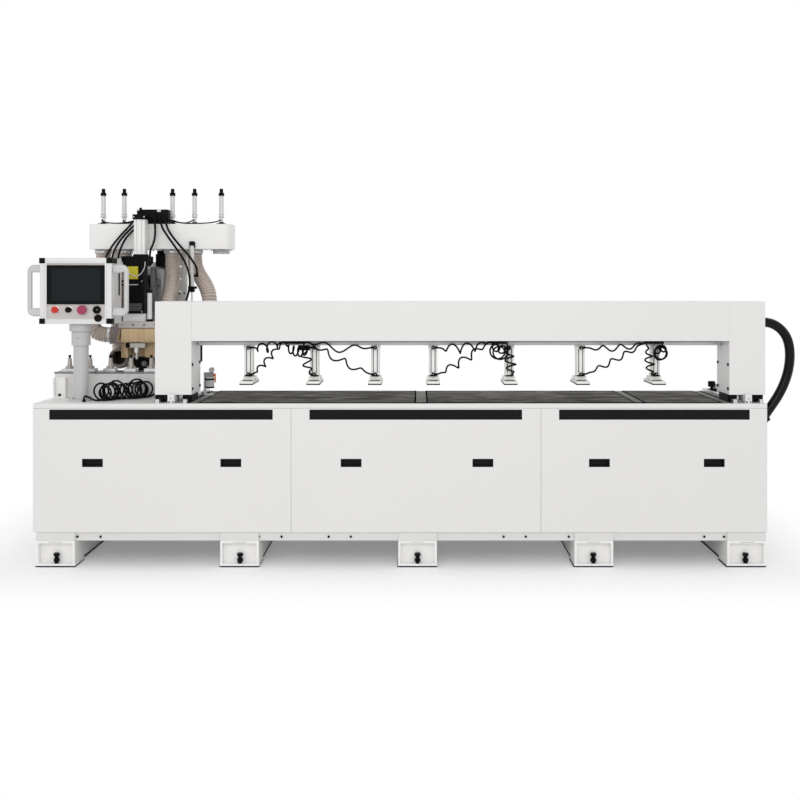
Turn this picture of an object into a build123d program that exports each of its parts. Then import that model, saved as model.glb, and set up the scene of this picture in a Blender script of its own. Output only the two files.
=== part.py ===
"""A CNC mortising machine: a long base with a work table, a portal beam with press clamps, a spindle
head on a rear X bed, a dust manifold, a tool rack and an operator panel on a post.

Millimetres, +Z up, +X to the operator's right, +Y away from the operator. While a piece is modelled,
Y is counted from the front face. At export every piece is moved so that the origin lies on the floor
under the middle of the machine.
"""
from build123d import *
import math
import os

# Whole machine
LENGTH = 3962.0
DEPTH = 1250.0
BASE_LENGTH = 3900.0
RIGHT = LENGTH / 2
HANDLE_LEFT = -LENGTH / 2
BASE_LEFT = RIGHT - BASE_LENGTH

# Base
DECK_Z = 870.0
DECK_THICK = 24.0
DECK_BACK = 640.0
SILL_Z = 140.0
SILL_TOP = 185.0
PANEL_Z = 186.0
PANEL_TOP = 844.0
PANEL_DEEP = 22.0
SHEET = 3.0
SEAM_LEFT = -548.0
SEAM_RIGHT = 780.0
COVER = 12.0
BAR = 60.0

# Feet, by the place of each across the machine
FOOT_X = (-1800.0, -822.0, 124.0, 1061.0, 1872.0)
FOOT_WIDTH = 205.0
FOOT_PLATE = 12.0
FOOT_RECESS = 36.0
PAD_THICK = 8.0
FLANGE_THICK = 10.0
FLANGE_LONG = 150.0
SCREW_R = 10.0
SCREW_Y = 18.0
SILL_BOLT_X = (-1686, -1563, -721, -600, -349, -231, 582, 700, 929, 1046, 1650, 1755, 1864)
SILL_BOLT_Z = 161.0

# Black strips and recessed grips of the front panels
STRIP_Z = (785.0, 838.0)
STRIP_X = ((-1832.0, -646.0), (-450.0, 679.0), (876.0, 1888.0))
GRIP_SIZE = (110.0, 43.0)
GRIP_Z = 555.0
GRIP_X = ((-1603.0, -868.0), (-229.0, 471.0), (1090.0, 1700.0))

# Work table
TABLE_LEFT = -1099.0
TABLE_RIGHT = 1804.0
TABLE_TOP = 872.0
TABLE_FRONT = 14.0
STRIP_TOP = 870.0
TABLE_STRIPS = ((-1099.0, -1045.0), (112.0, 176.0), (1287.0, 1343.0), (1750.0, 1804.0))
GROOVE_PITCH = 30.0
GROOVE_WIDE = 6.0
GROOVE_DEEP = 3.0

# Rear bed and X axis
BED_Y = (900.0, 1200.0)
BED_Z = (360.0, 640.0)
BED_WALL = 12.0
X_RAIL_Y = (940.0, 1160.0)
X_RAIL = (30.0, 26.0)

# Portal beam and clamps
BRIDGE_LEFT = -1279.0
LEFT_LEG_WIDE = 195.0
RIGHT_LEG_X = 1790.0
BRIDGE_Y = (30.0, 250.0)
BEAM_Z = (1201.0, 1412.0)
LEG_Z = 914.0
BRIDGE_WALL = 8.0
LEG_PLATE = 12.0
GUIDE_X = (-1261.0, -1114.0, 1815.0, 1955.0)
GUIDE = (20.0, 22.0)
GUIDE_END_Y = 600.0
DRIVE_X = (-1188.0, 1885.0)
DRIVE_Z = 896.0
DRIVE_R = 8.0
CLAMP_X = (-801.0, -440.0, -107.0, 209.0, 627.0, 1017.0, 1428.0)
CLAMP_SIDE = (1, -1, -1, 1, -1, 1, -1)
CLAMP_Y = 190.0
CLAMP_HALF = 23.0
CLAMP_Z = (1006.0, 1020.0, 1150.0, 1170.0)
ROD_R = 8.0
ROD_FIT = 0.06
PRESS_PAD = (72.0, 215.0, 15.0)
PRESS_PAD_Z = 965.0
AIR_BLOCKS = ((-600.0, -480.0), (520.0, 600.0), (1370.0, 1450.0))
AIR_BLOCK_Z = 1183.0
VALVE_X = (-535.0, -470.0)
VALVE_Z = 1140.0
HOSE_DIAMETER = 8.0

# Operator panel
POST_X = -1714.0
POST_Y = 150.0
POST_R = 40.0
SLEEVE_R = 49.5
SLEEVE_Z = (1172.0, 1248.5)
SWIVEL_R = 61.0
BOX_X = (-1905.0, -1520.0)
RIGHT_HANDLE_X = -1448.0
BOX_Y = (60.0, 240.0)
BOX_Z = (1291.0, 1646.0)
PROFILE = 36.0
RAIL_TALL = 29.0
SCREEN_Z = (1397.0, 1607.0)
BUTTON_Z = 1367.0
RED_X = -1822.0
BLACK_X = -1750.0
STOP_X = -1675.0
PORT_X = -1599.0
FACE_Y = 64.0

# Tool rack
RACK_X = (-1912.0, -1304.0)
RACK_Y = (300.0, 420.0)
RACK_TOP = 1004.0
RACK_SHEET = 8.0
RACK_RIB_X = (-1719.0, -1562.0, -1439.0)
TOOL_X = (-1845.0, -1729.0, -1614.0, -1498.0, -1383.0)
TOOL_Y = 350.0

# Head
HEAD_X = -1530.0
PLATE_X = (-1761.0, -1299.0)
PLATE_Y = (860.0, 890.0)
PLATE_Z = (1000.0, 1643.0)
SPINDLE_X = -1525.0
SPINDLE_Y = 560.0
Z_RAIL_X = (-1600.0, -1450.0)
Z_RAIL = (20.0, 18.0)
Z_PLATE_Y = (790.0, 815.0)
MANIFOLD_X = (-1846.0, -993.0)
MANIFOLD_Y = (650.0, 850.0)
MANIFOLD_Z = (1716.0, 1865.0)
OUTLET_X = (-1780.0, -1653.0, -1361.0, -1227.0, -1065.0)
OUTLET_Y = 750.0
CUFF_Z = 1690.0
CUFF_R = 50.0
DUST_HOSE_R = 46.0
DUST_BORE_R = 39.0
RIB_PITCH = 14.5
FREE_CUFF = (-1668.0, 1065.0)
RIB_DEEP = 4.0
HOOD_X = (-1608.0, -1305.0)
HOOD_SPIGOT = (-1362.0, 600.0)
HOOD_Y = (480.0, 700.0)
HOOD_Z = (1252.0, 1288.0)
SKIRT_Z = 1165.0
LONG_SKIRT_Z = 1072.0
SIDE_X = -1217.0
SIDE_Y = 632.0
SIDE_RAIL_X = -1247.0
SIDE_UNIT_Z = (1240.0, 1350.0)
SIDE_SPIGOT = (-1124.0, 690.0)
SIDE_BIT = (-1171.0, 670.0)
MORTISE_X = -1513.0
MORTISE_Z = 1030.0
SLIDE_GAP = 0.5

# Coiled air hose on the deck
COIL_TUBE = 10.0
COIL_R = 44.0
COIL_UNEVEN = 0.09
COIL_TURNS = 15
COIL_X = (-1618.0, -1366.0)
COIL_Y = (92.0, 282.0)
COIL_SOCKETS = ((-1676.0, 84.0), (-1310.0, 276.0))
SOCKET_TALL = 12.0

# Cable conduit from the beam's right leg into the base
CONDUIT_DIAMETER = 52.0
CONDUIT_Y = 150.0
GLAND_R = 33.0
GLAND_LONG = 18.0
CONDUIT_TOP_Z = 1298.0
CONDUIT_LOW_Z = 752.0
CONDUIT_SLOPE = math.radians(55.4)
ELBOW_LONG = 45.0


def bar(x0, x1, y0, y1, z0, z1):
    """A box between two corners."""
    size = Box(x1 - x0, y1 - y0, z1 - z0)
    return Pos((x0 + x1) / 2, (y0 + y1) / 2, (z0 + z1) / 2) * size


def soft_bar(x0, x1, y0, y1, z0, z1, radius, axis=None):
    """A box with its edges rounded: all of them, or those along one axis."""
    box = bar(x0, x1, y0, y1, z0, z1)
    edges = box.edges() if axis is None else box.edges().filter_by(axis)
    return fillet(edges, radius)


def rod(start, end, radius):
    """A round bar from one point to another."""
    a = Vector(*start)
    b = Vector(*end)
    return extrude(Plane(origin=a, z_dir=b - a) * Circle(radius), (b - a).length)


def cone(start, end, radius, end_radius):
    """A tapered round bar from one point to another."""
    a = Vector(*start)
    b = Vector(*end)
    plane = Plane(origin=a, z_dir=b - a)
    far = Plane(origin=b, z_dir=b - a)
    return loft([plane * Circle(radius), far * Circle(end_radius)])


def hexagon(start, end, radius):
    """A hexagonal bar from one point to another."""
    a = Vector(*start)
    b = Vector(*end)
    return extrude(Plane(origin=a, z_dir=b - a) * RegularPolygon(radius, 6), (b - a).length)


def plate_across(points, x0, x1):
    """A plate with an outline in Y and Z, from x0 to x1."""
    face = Plane.YZ.offset(x0) * make_face(Polyline(*points, close=True))
    return extrude(face, x1 - x0)


def solids_of(shapes):
    """All the solids of a list of shapes."""
    return [solid for shape in shapes for solid in shape.solids()]


def mirrored_feet(y):
    """The front place and the rear place of what stands at both ends of a foot."""
    return (y, DEPTH - y)


# Feet and frame


def cross_foot(x):
    """One foot across the machine: an open channel, with a recess and a flange at each end."""
    half = FOOT_WIDTH / 2
    inner = half - FOOT_PLATE
    low = PAD_THICK + FLANGE_THICK
    roof = SILL_Z - FOOT_PLATE
    web = FOOT_RECESS + FLANGE_THICK
    foot = bar(x - half, x + half, 0, DEPTH, low, SILL_Z)
    foot -= bar(x - inner, x + inner, web, DEPTH - web, low, roof)
    foot -= bar(x - inner, x + inner, 0, FOOT_RECESS, low, roof)
    foot -= bar(x - inner, x + inner, DEPTH - FOOT_RECESS, DEPTH, low, roof)
    for y0, y1 in ((0, FLANGE_LONG), (DEPTH - FLANGE_LONG, DEPTH)):
        foot += bar(x - half - 2, x + half + 2, y0, y1, PAD_THICK, low)
    for y in mirrored_feet(SCREW_Y):
        foot -= rod((x, y, 0), (x, y, low), SCREW_R + 0.3)
    return foot


def cross_feet():
    return [cross_foot(x) for x in FOOT_X]


def foot_pads():
    half = FOOT_WIDTH / 2 - 4
    pads = []
    for x in FOOT_X:
        for y0, y1 in ((4, FLANGE_LONG - 4), (DEPTH - FLANGE_LONG + 4, DEPTH - 4)):
            pads.append(bar(x - half, x + half, y0, y1, 0, PAD_THICK))
    return pads


def levelling_screw(x, y):
    """A jack screw with its hexagon head and lock nut."""
    screw = rod((x, y, PAD_THICK), (x, y, 58), SCREW_R)
    screw += hexagon((x, y, 27), (x, y, 43), 16)
    screw += hexagon((x, y, 58), (x, y, 72), 16)
    return screw


def base_fasteners():
    screws = [levelling_screw(x, y) for x in FOOT_X for y in mirrored_feet(SCREW_Y)]
    bolts = [rod((x, 7, SILL_BOLT_Z), (x, 12, SILL_BOLT_Z), 6) for x in SILL_BOLT_X]
    return screws + bolts


def base_frame():
    """Box sections: sills, uprights, top rails and the posts under the rear bed."""
    x0 = BASE_LEFT + COVER + 2
    x1 = RIGHT - COVER - 2
    columns = (x0, SEAM_LEFT - BAR / 2, SEAM_RIGHT - BAR / 2, x1 - BAR)
    rail_z = (DECK_Z - DECK_THICK - 40, DECK_Z - DECK_THICK)
    back = DEPTH - COVER
    front_row = (PANEL_DEEP + 2, 12 + BAR)
    middle_row = (590.0, DECK_BACK - 2)
    bars = [bar(x0, x1, 12, 12 + BAR, SILL_Z, SILL_TOP)]
    bars.append(bar(x0, x1, back - BAR, back, SILL_Z, SILL_TOP))
    for row in (front_row, middle_row):
        bars.append(bar(x0, x1, row[0], row[1], rail_z[0], rail_z[1]))
    for x in columns:
        bars.append(bar(x, x + BAR, 12 + BAR, back - BAR, SILL_Z, SILL_TOP))
        bars.append(bar(x, x + BAR, front_row[1], middle_row[0], rail_z[0], rail_z[1]))
        for row in (front_row, middle_row):
            bars.append(bar(x, x + BAR, row[0], row[1], SILL_TOP, rail_z[0]))
        for y in (BED_Y[0] + 5, BED_Y[1] - 95):
            bars.append(bar(x, x + BAR, y, y + BAR, SILL_TOP, BED_Z[0]))
    return bars


def deck_plates():
    """Deck at both ends, front lip, lead screw brackets, hose sockets and the end stop."""
    low = DECK_Z - DECK_THICK
    pieces = [
        bar(BASE_LEFT, TABLE_LEFT, 0, DECK_BACK, low, DECK_Z),
        bar(TABLE_LEFT, TABLE_RIGHT, 0, TABLE_FRONT, low, DECK_Z),
        bar(TABLE_RIGHT, RIGHT, 0, DECK_BACK, low, DECK_Z),
    ]
    for x in DRIVE_X:
        bracket = soft_bar(x - 17.5, x + 17.5, 6, 20, DECK_Z, DECK_Z + 48, 4, Axis.Y)
        bracket -= rod((x, 0, DRIVE_Z), (x, 30, DRIVE_Z), DRIVE_R)
        pieces.append(bracket)
    for x, y in COIL_SOCKETS:
        pieces.append(rod((x, y, DECK_Z), (x, y, DECK_Z + SOCKET_TALL), 9))
    return pieces + end_stop()


def table_board(x0, x1):
    """One table board with grooves along its length."""
    low = DECK_Z - DECK_THICK
    board = bar(x0, x1, TABLE_FRONT, DECK_BACK, low, TABLE_TOP)
    y = TABLE_FRONT + GROOVE_PITCH
    grooves = []
    while y < DECK_BACK - GROOVE_PITCH / 2:
        grooves.append(bar(x0, x1, y, y + GROOVE_WIDE, TABLE_TOP - GROOVE_DEEP, TABLE_TOP))
        y += GROOVE_PITCH
    return board - grooves


def work_table():
    low = DECK_Z - DECK_THICK
    strips = [bar(a, b, TABLE_FRONT, DECK_BACK, low, STRIP_TOP) for a, b in TABLE_STRIPS]
    gaps = zip(TABLE_STRIPS, TABLE_STRIPS[1:])
    return strips + [table_board(left[1] + 3, right[0] - 3) for left, right in gaps]


def end_cover(x0, x1):
    """A stepped end sheet: high beside the table, low beside the rear bed."""
    step = DECK_BACK + COVER
    low = BED_Z[1] - 10
    outline = [
        (PANEL_DEEP + 2, PANEL_Z),
        (DEPTH, PANEL_Z),
        (DEPTH, low),
        (step, low),
        (step, PANEL_TOP),
        (PANEL_DEEP + 2, PANEL_TOP),
    ]
    return plate_across(outline, x0, x1)


def outer_covers():
    left = end_cover(BASE_LEFT, BASE_LEFT + COVER)
    right = end_cover(RIGHT - COVER, RIGHT)
    x0 = BASE_LEFT + COVER
    x1 = RIGHT - COVER
    rear = bar(x0, x1, DEPTH - COVER, DEPTH, PANEL_Z, BED_Z[1] - 10)
    inner = bar(x0, x1, DECK_BACK, DECK_BACK + COVER, PANEL_Z, DECK_Z - DECK_THICK)
    return [left, right, rear, inner]


# Front panels


def panel_span(index):
    """The left and right edge of a front panel."""
    edges = (BASE_LEFT, SEAM_LEFT, SEAM_RIGHT, RIGHT)
    return edges[index] + 1.5 * (index > 0), edges[index + 1] - 1.5 * (index < 2)


def front_panel(index):
    """A folded sheet panel, open behind, with windows for its strip and its two grips."""
    x0, x1 = panel_span(index)
    panel = bar(x0, x1, 0, PANEL_DEEP, PANEL_Z, PANEL_TOP)
    panel -= bar(x0 + SHEET, x1 - SHEET, SHEET, PANEL_DEEP, PANEL_Z + SHEET, PANEL_TOP - SHEET)
    a, b = STRIP_X[index]
    panel -= bar(a - 0.3, b + 0.3, 0, SHEET, STRIP_Z[0] - 0.3, STRIP_Z[1] + 0.3)
    wide = GRIP_SIZE[0] / 2 + 0.3
    tall = GRIP_SIZE[1] / 2 + 0.3
    for x in GRIP_X[index]:
        panel -= bar(x - wide, x + wide, 0, SHEET, GRIP_Z - tall, GRIP_Z + tall)
    return [panel]


def recessed_grip(x):
    """A black finger cup that fills a window of the panel."""
    wide = GRIP_SIZE[0] / 2
    tall = GRIP_SIZE[1] / 2
    cup = bar(x - wide, x + wide, 0, SHEET, GRIP_Z - tall, GRIP_Z + tall)
    cup += bar(x - wide - 4, x + wide + 4, SHEET, 20, GRIP_Z - tall - 4, GRIP_Z + tall + 4)
    cup -= bar(x - wide + 7, x + wide - 7, 0, 17, GRIP_Z - tall + 6, GRIP_Z + tall - 6)
    return cup


def panel_trim(index):
    """The black strip of a panel, held by a wider back, and its two grips."""
    a, b = STRIP_X[index]
    strip = bar(a, b, 0, SHEET, STRIP_Z[0], STRIP_Z[1])
    strip += bar(a - 8, b + 8, SHEET, SHEET + 3, STRIP_Z[0] - 8, STRIP_Z[1] + 2.5)
    return [strip] + [recessed_grip(x) for x in GRIP_X[index]]


# Guides of the bridge, post, rack and other pieces on the deck


def bridge_guides():
    """Four linear rails on the deck and two fixed lead screws between them."""
    half = GUIDE[0] / 2
    pieces = []
    for x in GUIDE_X:
        rail = bar(x - half, x + half, 8, GUIDE_END_Y, DECK_Z, DECK_Z + GUIDE[1])
        pieces.append(rail)
    for x in DRIVE_X:
        pieces.append(rod((x, 8, DRIVE_Z), (x, GUIDE_END_Y, DRIVE_Z), DRIVE_R))
        block = bar(x - 17.5, x + 17.5, GUIDE_END_Y, GUIDE_END_Y + 16, DECK_Z, DECK_Z + 48)
        pieces.append(block)
    return pieces


def hmi_post():
    """The panel's post: bolted flange, round tube, sleeve and the pivot pin."""
    post = rod((POST_X, POST_Y, DECK_Z), (POST_X, POST_Y, DECK_Z + 12), 65)
    post += rod((POST_X, POST_Y, DECK_Z + 12), (POST_X, POST_Y, SLEEVE_Z[0]), POST_R)
    post += rod((POST_X, POST_Y, SLEEVE_Z[0]), (POST_X, POST_Y, SLEEVE_Z[1]), SLEEVE_R)
    post += rod((POST_X, POST_Y, SLEEVE_Z[1]), (POST_X, POST_Y, SLEEVE_Z[1] + 22), 18)
    for angle in (45, 135, 225, 315):
        x = POST_X + 52 * math.cos(math.radians(angle))
        y = POST_Y + 52 * math.sin(math.radians(angle))
        post += hexagon((x, y, DECK_Z + 12), (x, y, DECK_Z + 19), 8)
    return [post]


def tool_rack():
    """Two upright sheets on the deck with a roof between them, ribs, a top plate and a left bracket."""
    x0, x1 = RACK_X
    y0, y1 = RACK_Y
    wall = RACK_SHEET
    front = bar(x0, x1, y0, y0 + wall, DECK_Z, RACK_TOP)
    back = bar(x0, x1, y1 - wall, y1, DECK_Z, RACK_TOP)
    roof = bar(x0, x1, y0 + wall, y1 - wall, RACK_TOP - wall, RACK_TOP)
    top = bar(x0 - 3, x1, y0 - 6, y1, RACK_TOP, RACK_TOP + wall)
    for x in TOOL_X:
        tool = rod((x, TOOL_Y, RACK_TOP - wall), (x, TOOL_Y, RACK_TOP + wall), 24)
        roof -= tool
        top -= tool
    ribs = [bar(x - 5, x + 5, y0 - 6, y0, DECK_Z, RACK_TOP - 14) for x in RACK_RIB_X]
    bracket = bar(x0, x0 + 70, y0 - 30, y0, DECK_Z, DECK_Z + 112)
    bracket -= bar(x0 + 8, x0 + 62, y0 - 30, y0 - 6, DECK_Z + 8, DECK_Z + 112)
    return [front, back, roof, top, bracket] + ribs


def tool_fork(x):
    """A white fork on the rack that holds one tool by its neck."""
    z = RACK_TOP + 8
    fork = soft_bar(x - 34, x + 34, TOOL_Y - 32, TOOL_Y + 32, z, z + 17, 3, Axis.Z)
    fork -= rod((x, TOOL_Y, z), (x, TOOL_Y, z + 17), 18.5)
    fork -= bar(x - 18.5, x + 18.5, TOOL_Y, TOOL_Y + 32, z, z + 17)
    screw = rod((x, TOOL_Y - 36, z + 8), (x, TOOL_Y - 32, z + 8), 5)
    return [fork, screw]


def tool_grippers():
    return [piece for x in TOOL_X for piece in tool_fork(x)]


def tool_holder(x):
    """A taper tool holder, taper up: collet nut, neck, flange, taper, pull stud."""
    z = RACK_TOP + 25
    holder = rod((x, TOOL_Y, 950), (x, TOOL_Y, z - 10), 15)
    holder += rod((x, TOOL_Y, 955), (x, TOOL_Y, 990), 20)
    holder += rod((x, TOOL_Y, z - 30), (x, TOOL_Y, z + 0.5), 17.5)
    holder += rod((x, TOOL_Y, z + 0.5), (x, TOOL_Y, z + 13), 23)
    holder += cone((x, TOOL_Y, z + 13), (x, TOOL_Y, z + 58), 13.5, 10.0)
    holder += rod((x, TOOL_Y, z + 58), (x, TOOL_Y, z + 66), 5)
    holder += rod((x, TOOL_Y, z + 66), (x, TOOL_Y, z + 75), 7.5)
    return holder


def tool_holders():
    return [tool_holder(x) for x in TOOL_X]


AIR_X = -1066.0
AIR_Y = 420.0
AIR_BOWL_Z = (911.0, 974.0)
AIR_TOP = 1000.0
AIR_PIVOT_Z = 986.0


def air_service_unit():
    """Filter bowl with two bands, its upright plate and head block, and the gauge."""
    low, high = AIR_BOWL_Z
    plate_x = AIR_X - 32
    unit = rod((AIR_X, AIR_Y, low), (AIR_X, AIR_Y, high), 24)
    for z in (low, high - 17):
        unit += rod((AIR_X, AIR_Y, z), (AIR_X, AIR_Y, z + 9), 25.5)
    unit += bar(plate_x, AIR_X + 20, AIR_Y - 18, AIR_Y + 18, high, AIR_TOP)
    unit += bar(plate_x, plate_x + 6, AIR_Y - 18, AIR_Y + 18, STRIP_TOP, high)
    unit += bar(plate_x, AIR_X + 20, AIR_Y - 18, AIR_Y + 18, STRIP_TOP, STRIP_TOP + 6)
    unit -= rod((AIR_X, AIR_Y + 18, AIR_PIVOT_Z), (AIR_X, AIR_Y + 4, AIR_PIVOT_Z), 6.6)
    gauge = rod((AIR_X + 14, AIR_Y - 30, AIR_TOP + 16), (AIR_X + 14, AIR_Y - 8, AIR_TOP + 16), 14)
    gauge += rod((AIR_X + 14, AIR_Y - 13, AIR_TOP), (AIR_X + 14, AIR_Y - 13, AIR_TOP + 6), 4)
    return [unit, gauge]


def air_lever():
    """The quarter-turn lever on the side of the air service unit."""
    z = AIR_PIVOT_Z
    lever = rod((AIR_X + 20.4, AIR_Y, z), (AIR_X + 34, AIR_Y, z), 7)
    lever += soft_bar(AIR_X + 27, AIR_X + 34, AIR_Y - 6, AIR_Y + 6, z - 44, z, 2)
    return [lever]


def end_stop():
    """A block with a knob at the rear end of the right deck."""
    stop = bar(1826, 1876, 540, 580, DECK_Z, DECK_Z + 22)
    stop += rod((1851, 560, DECK_Z + 22), (1851, 560, DECK_Z + 34), 8)
    stop += rod((1851, 560, DECK_Z + 34), (1851, 560, DECK_Z + 66), 21)
    return [stop]


def rear_bed():
    """The X bed: a welded box beam, open at its ends behind the end covers."""
    x0 = BASE_LEFT + COVER + 2
    x1 = RIGHT - COVER - 2
    bed = bar(x0, x1, BED_Y[0], BED_Y[1], BED_Z[0], BED_Z[1])
    wall = BED_WALL
    bed -= bar(x0, x1, BED_Y[0] + wall, BED_Y[1] - wall, BED_Z[0] + wall, BED_Z[1] - wall)
    return [bed]


def x_rails():
    """Two linear rails and the rack between them."""
    x0 = BASE_LEFT + COVER + 8
    x1 = RIGHT - COVER - 8
    half = X_RAIL[0] / 2
    top = BED_Z[1] + X_RAIL[1]
    rails = [bar(x0, x1, y - half, y + half, BED_Z[1], top) for y in X_RAIL_Y]
    return rails + [bar(x0, x1, 1035, 1065, BED_Z[1], top + 4)]


# Portal beam


def leg(x0, x1):
    """A leg box, open below, and the plate that closes it."""
    y0, y1 = BRIDGE_Y
    wall = BRIDGE_WALL
    plate_top = LEG_Z + LEG_PLATE
    box = bar(x0, x1, y0, y1, plate_top, BEAM_Z[1])
    box -= bar(x0 + wall, x1 - wall, y0 + wall, y1 - wall, plate_top, BEAM_Z[1] - wall)
    return [box, bar(x0, x1, y0, y1, LEG_Z, plate_top)]


def bridge_legs():
    return leg(BRIDGE_LEFT, BRIDGE_LEFT + LEFT_LEG_WIDE) + leg(RIGHT_LEG_X, RIGHT) + leg_bolts()


def bridge_beam():
    y0, y1 = BRIDGE_Y
    z0, z1 = BEAM_Z
    wall = BRIDGE_WALL
    beam = bar(BRIDGE_LEFT + LEFT_LEG_WIDE, RIGHT_LEG_X, y0, y1, z0, z1)
    beam -= bar(BRIDGE_LEFT, RIGHT, y0 + wall, y1 - wall, z0 + wall, z1 - wall)
    return [beam]


def bridge_carriages():
    """Rail carriages under the legs, and the nuts on the lead screws."""
    half = GUIDE[0] / 2 + SLIDE_GAP
    roof = DECK_Z + GUIDE[1] + SLIDE_GAP
    pieces = []
    for x in GUIDE_X:
        block = bar(x - 24, x + 24, 60, 220, DECK_Z + 4, LEG_Z)
        block -= bar(x - half, x + half, 60, 220, DECK_Z + 4, roof)
        pieces.append(block)
    for x in DRIVE_X:
        nut = bar(x - 22, x + 22, 34, 100, DECK_Z + 8, LEG_Z)
        nut -= rod((x, 30, DRIVE_Z), (x, 110, DRIVE_Z), DRIVE_R + 0.3)
        pieces.append(nut)
    return pieces


def clamp_rail():
    """The grey rail that the clamps are bolted to, its valve, and the air blocks beside it."""
    rail = bar(BRIDGE_LEFT + LEFT_LEG_WIDE + 4, RIGHT_LEG_X - 4, 170, 240, CLAMP_Z[3], BEAM_Z[0])
    blocks = [bar(a, b, 70, 120, AIR_BLOCK_Z, BEAM_Z[0]) for a, b in AIR_BLOCKS]
    valve = soft_bar(VALVE_X[0], VALVE_X[1], 198, 240, VALVE_Z, CLAMP_Z[3], 3, Axis.X)
    return [rail, valve] + blocks


def clamp_cylinder(x):
    """A compact cylinder of aluminium profile, with end blocks and a bore for the rod."""
    z0, z1, z2, z3 = CLAMP_Z
    half = CLAMP_HALF
    body = soft_bar(x - half, x + half, 162, 218, z1, z2, 5, Axis.Z)
    for side in (-1, 1):
        groove = bar(-3, 3, 0, 10, z1, z2)
        body -= Pos(x + side * 11, 158, 0) * groove
    body += bar(x - half - 3, x + half + 3, 160, 222, z2, z3)
    body += bar(x - half - 1, x + half + 1, 160, 220, z0, z1)
    body -= rod((x, CLAMP_Y, z0 - 1), (x, CLAMP_Y, z2 - 4), ROD_R + ROD_FIT)
    return body


def clamp_cylinders():
    return [clamp_cylinder(x) for x in CLAMP_X] + clamp_fittings()


# Fittings that point straight forwards instead of sideways: clamp number, port, shift along X
FRONT_PORTS = {(4, 1): 15.0, (6, 0): 12.0}
PORT_Z = (1158.0, 1013.0)
PORT_LONG = 12.0
BANJO_Y = 151.0
BANJO_OUT = 17.0


def port(index, which):
    """The outer end of a clamp's upper (0) or lower (1) fitting, and its direction."""
    x = CLAMP_X[index]
    z = PORT_Z[which]
    if (index, which) in FRONT_PORTS:
        return (x + FRONT_PORTS[index, which], 160 - PORT_LONG, z), (0, -1, 0)
    side = CLAMP_SIDE[index]
    return (x + side * BANJO_OUT, BANJO_Y, z), (side, 0, 0)


def clamp_fitting(index, which):
    """A straight fitting, or a banjo with its outlet to one side, on the front of a clamp."""
    end, out = port(index, which)
    if (index, which) in FRONT_PORTS:
        root = tuple(e - PORT_LONG * o for e, o in zip(end, out))
        return rod(root, end, 6.5)
    x = CLAMP_X[index]
    z = PORT_Z[which]
    banjo = rod((x, 160, z), (x, BANJO_Y - 7, z), 9)
    return banjo + rod((x, BANJO_Y, z), end, 6)


def clamp_fittings():
    return [clamp_fitting(index, which) for index in range(len(CLAMP_X)) for which in (0, 1)]


def leg_bolts():
    """Bolt heads on the inner faces of the legs."""
    pieces = []
    for x, step in ((BRIDGE_LEFT + LEFT_LEG_WIDE, 6), (RIGHT_LEG_X, -6)):
        for y in (48, 228):
            for z in (945, 1074):
                pieces.append(rod((x, y, z), (x + step, y, z), 8))
    return pieces


def clamp_pad(x):
    """A press pad with a pocket, its collar and the rod that runs in the cylinder."""
    wide, deep, thick = PRESS_PAD
    low = PRESS_PAD_Z
    top = low + thick
    y0 = CLAMP_Y - deep / 2
    pad = soft_bar(x - wide / 2, x + wide / 2, y0, y0 + deep, low, top, 6, Axis.Z)
    pad -= bar(x - 26, x + 26, y0 + 14, y0 + 78, top - 7, top)
    collar = rod((x, CLAMP_Y, top), (x, CLAMP_Y, 1003), 15)
    collar += rod((x, CLAMP_Y, 1003), (x, CLAMP_Y, 1138), ROD_R)
    return [pad, collar]


# Operator panel


def hmi_case():
    """A sheet metal case, open behind, with holes for the buttons."""
    x0 = BOX_X[0] + PROFILE
    x1 = BOX_X[1] - PROFILE
    z0 = BOX_Z[0] + RAIL_TALL
    z1 = BOX_Z[1] - RAIL_TALL
    case = bar(x0, x1, FACE_Y, BOX_Y[1] - 4, z0, z1)
    case -= bar(x0 + SHEET, x1 - SHEET, FACE_Y + SHEET, BOX_Y[1] - 4, z0 + SHEET, z1 - SHEET)
    for x, radius in ((RED_X, 10.3), (BLACK_X, 10.3), (STOP_X, 12.3)):
        case -= rod((x, FACE_Y - 1, BUTTON_Z), (x, FACE_Y + 8, BUTTON_Z), radius)
    return [case]


def profile_frame(y0, y1):
    """One rectangle of square profiles round the case."""
    x0, x1 = BOX_X
    z0, z1 = BOX_Z
    frame = bar(x0, x1, y0, y1, z0, z1)
    return frame - bar(x0 + PROFILE, x1 - PROFILE, y0, y1, z0 + RAIL_TALL, z1 - RAIL_TALL)


def bow_handle(x, out):
    """A bow handle on one side of the panel, out to the given X."""
    upper = 1597.0
    lower = 1344.0
    y = BOX_Y[0] + 26
    path = FilletPolyline((x, y, upper), (out, y, upper), (out, y, lower), (x, y, lower), radius=24)
    return sweep(Plane(origin=(x, y, upper), z_dir=(out - x, 0, 0)) * Circle(13), path=path)


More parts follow.
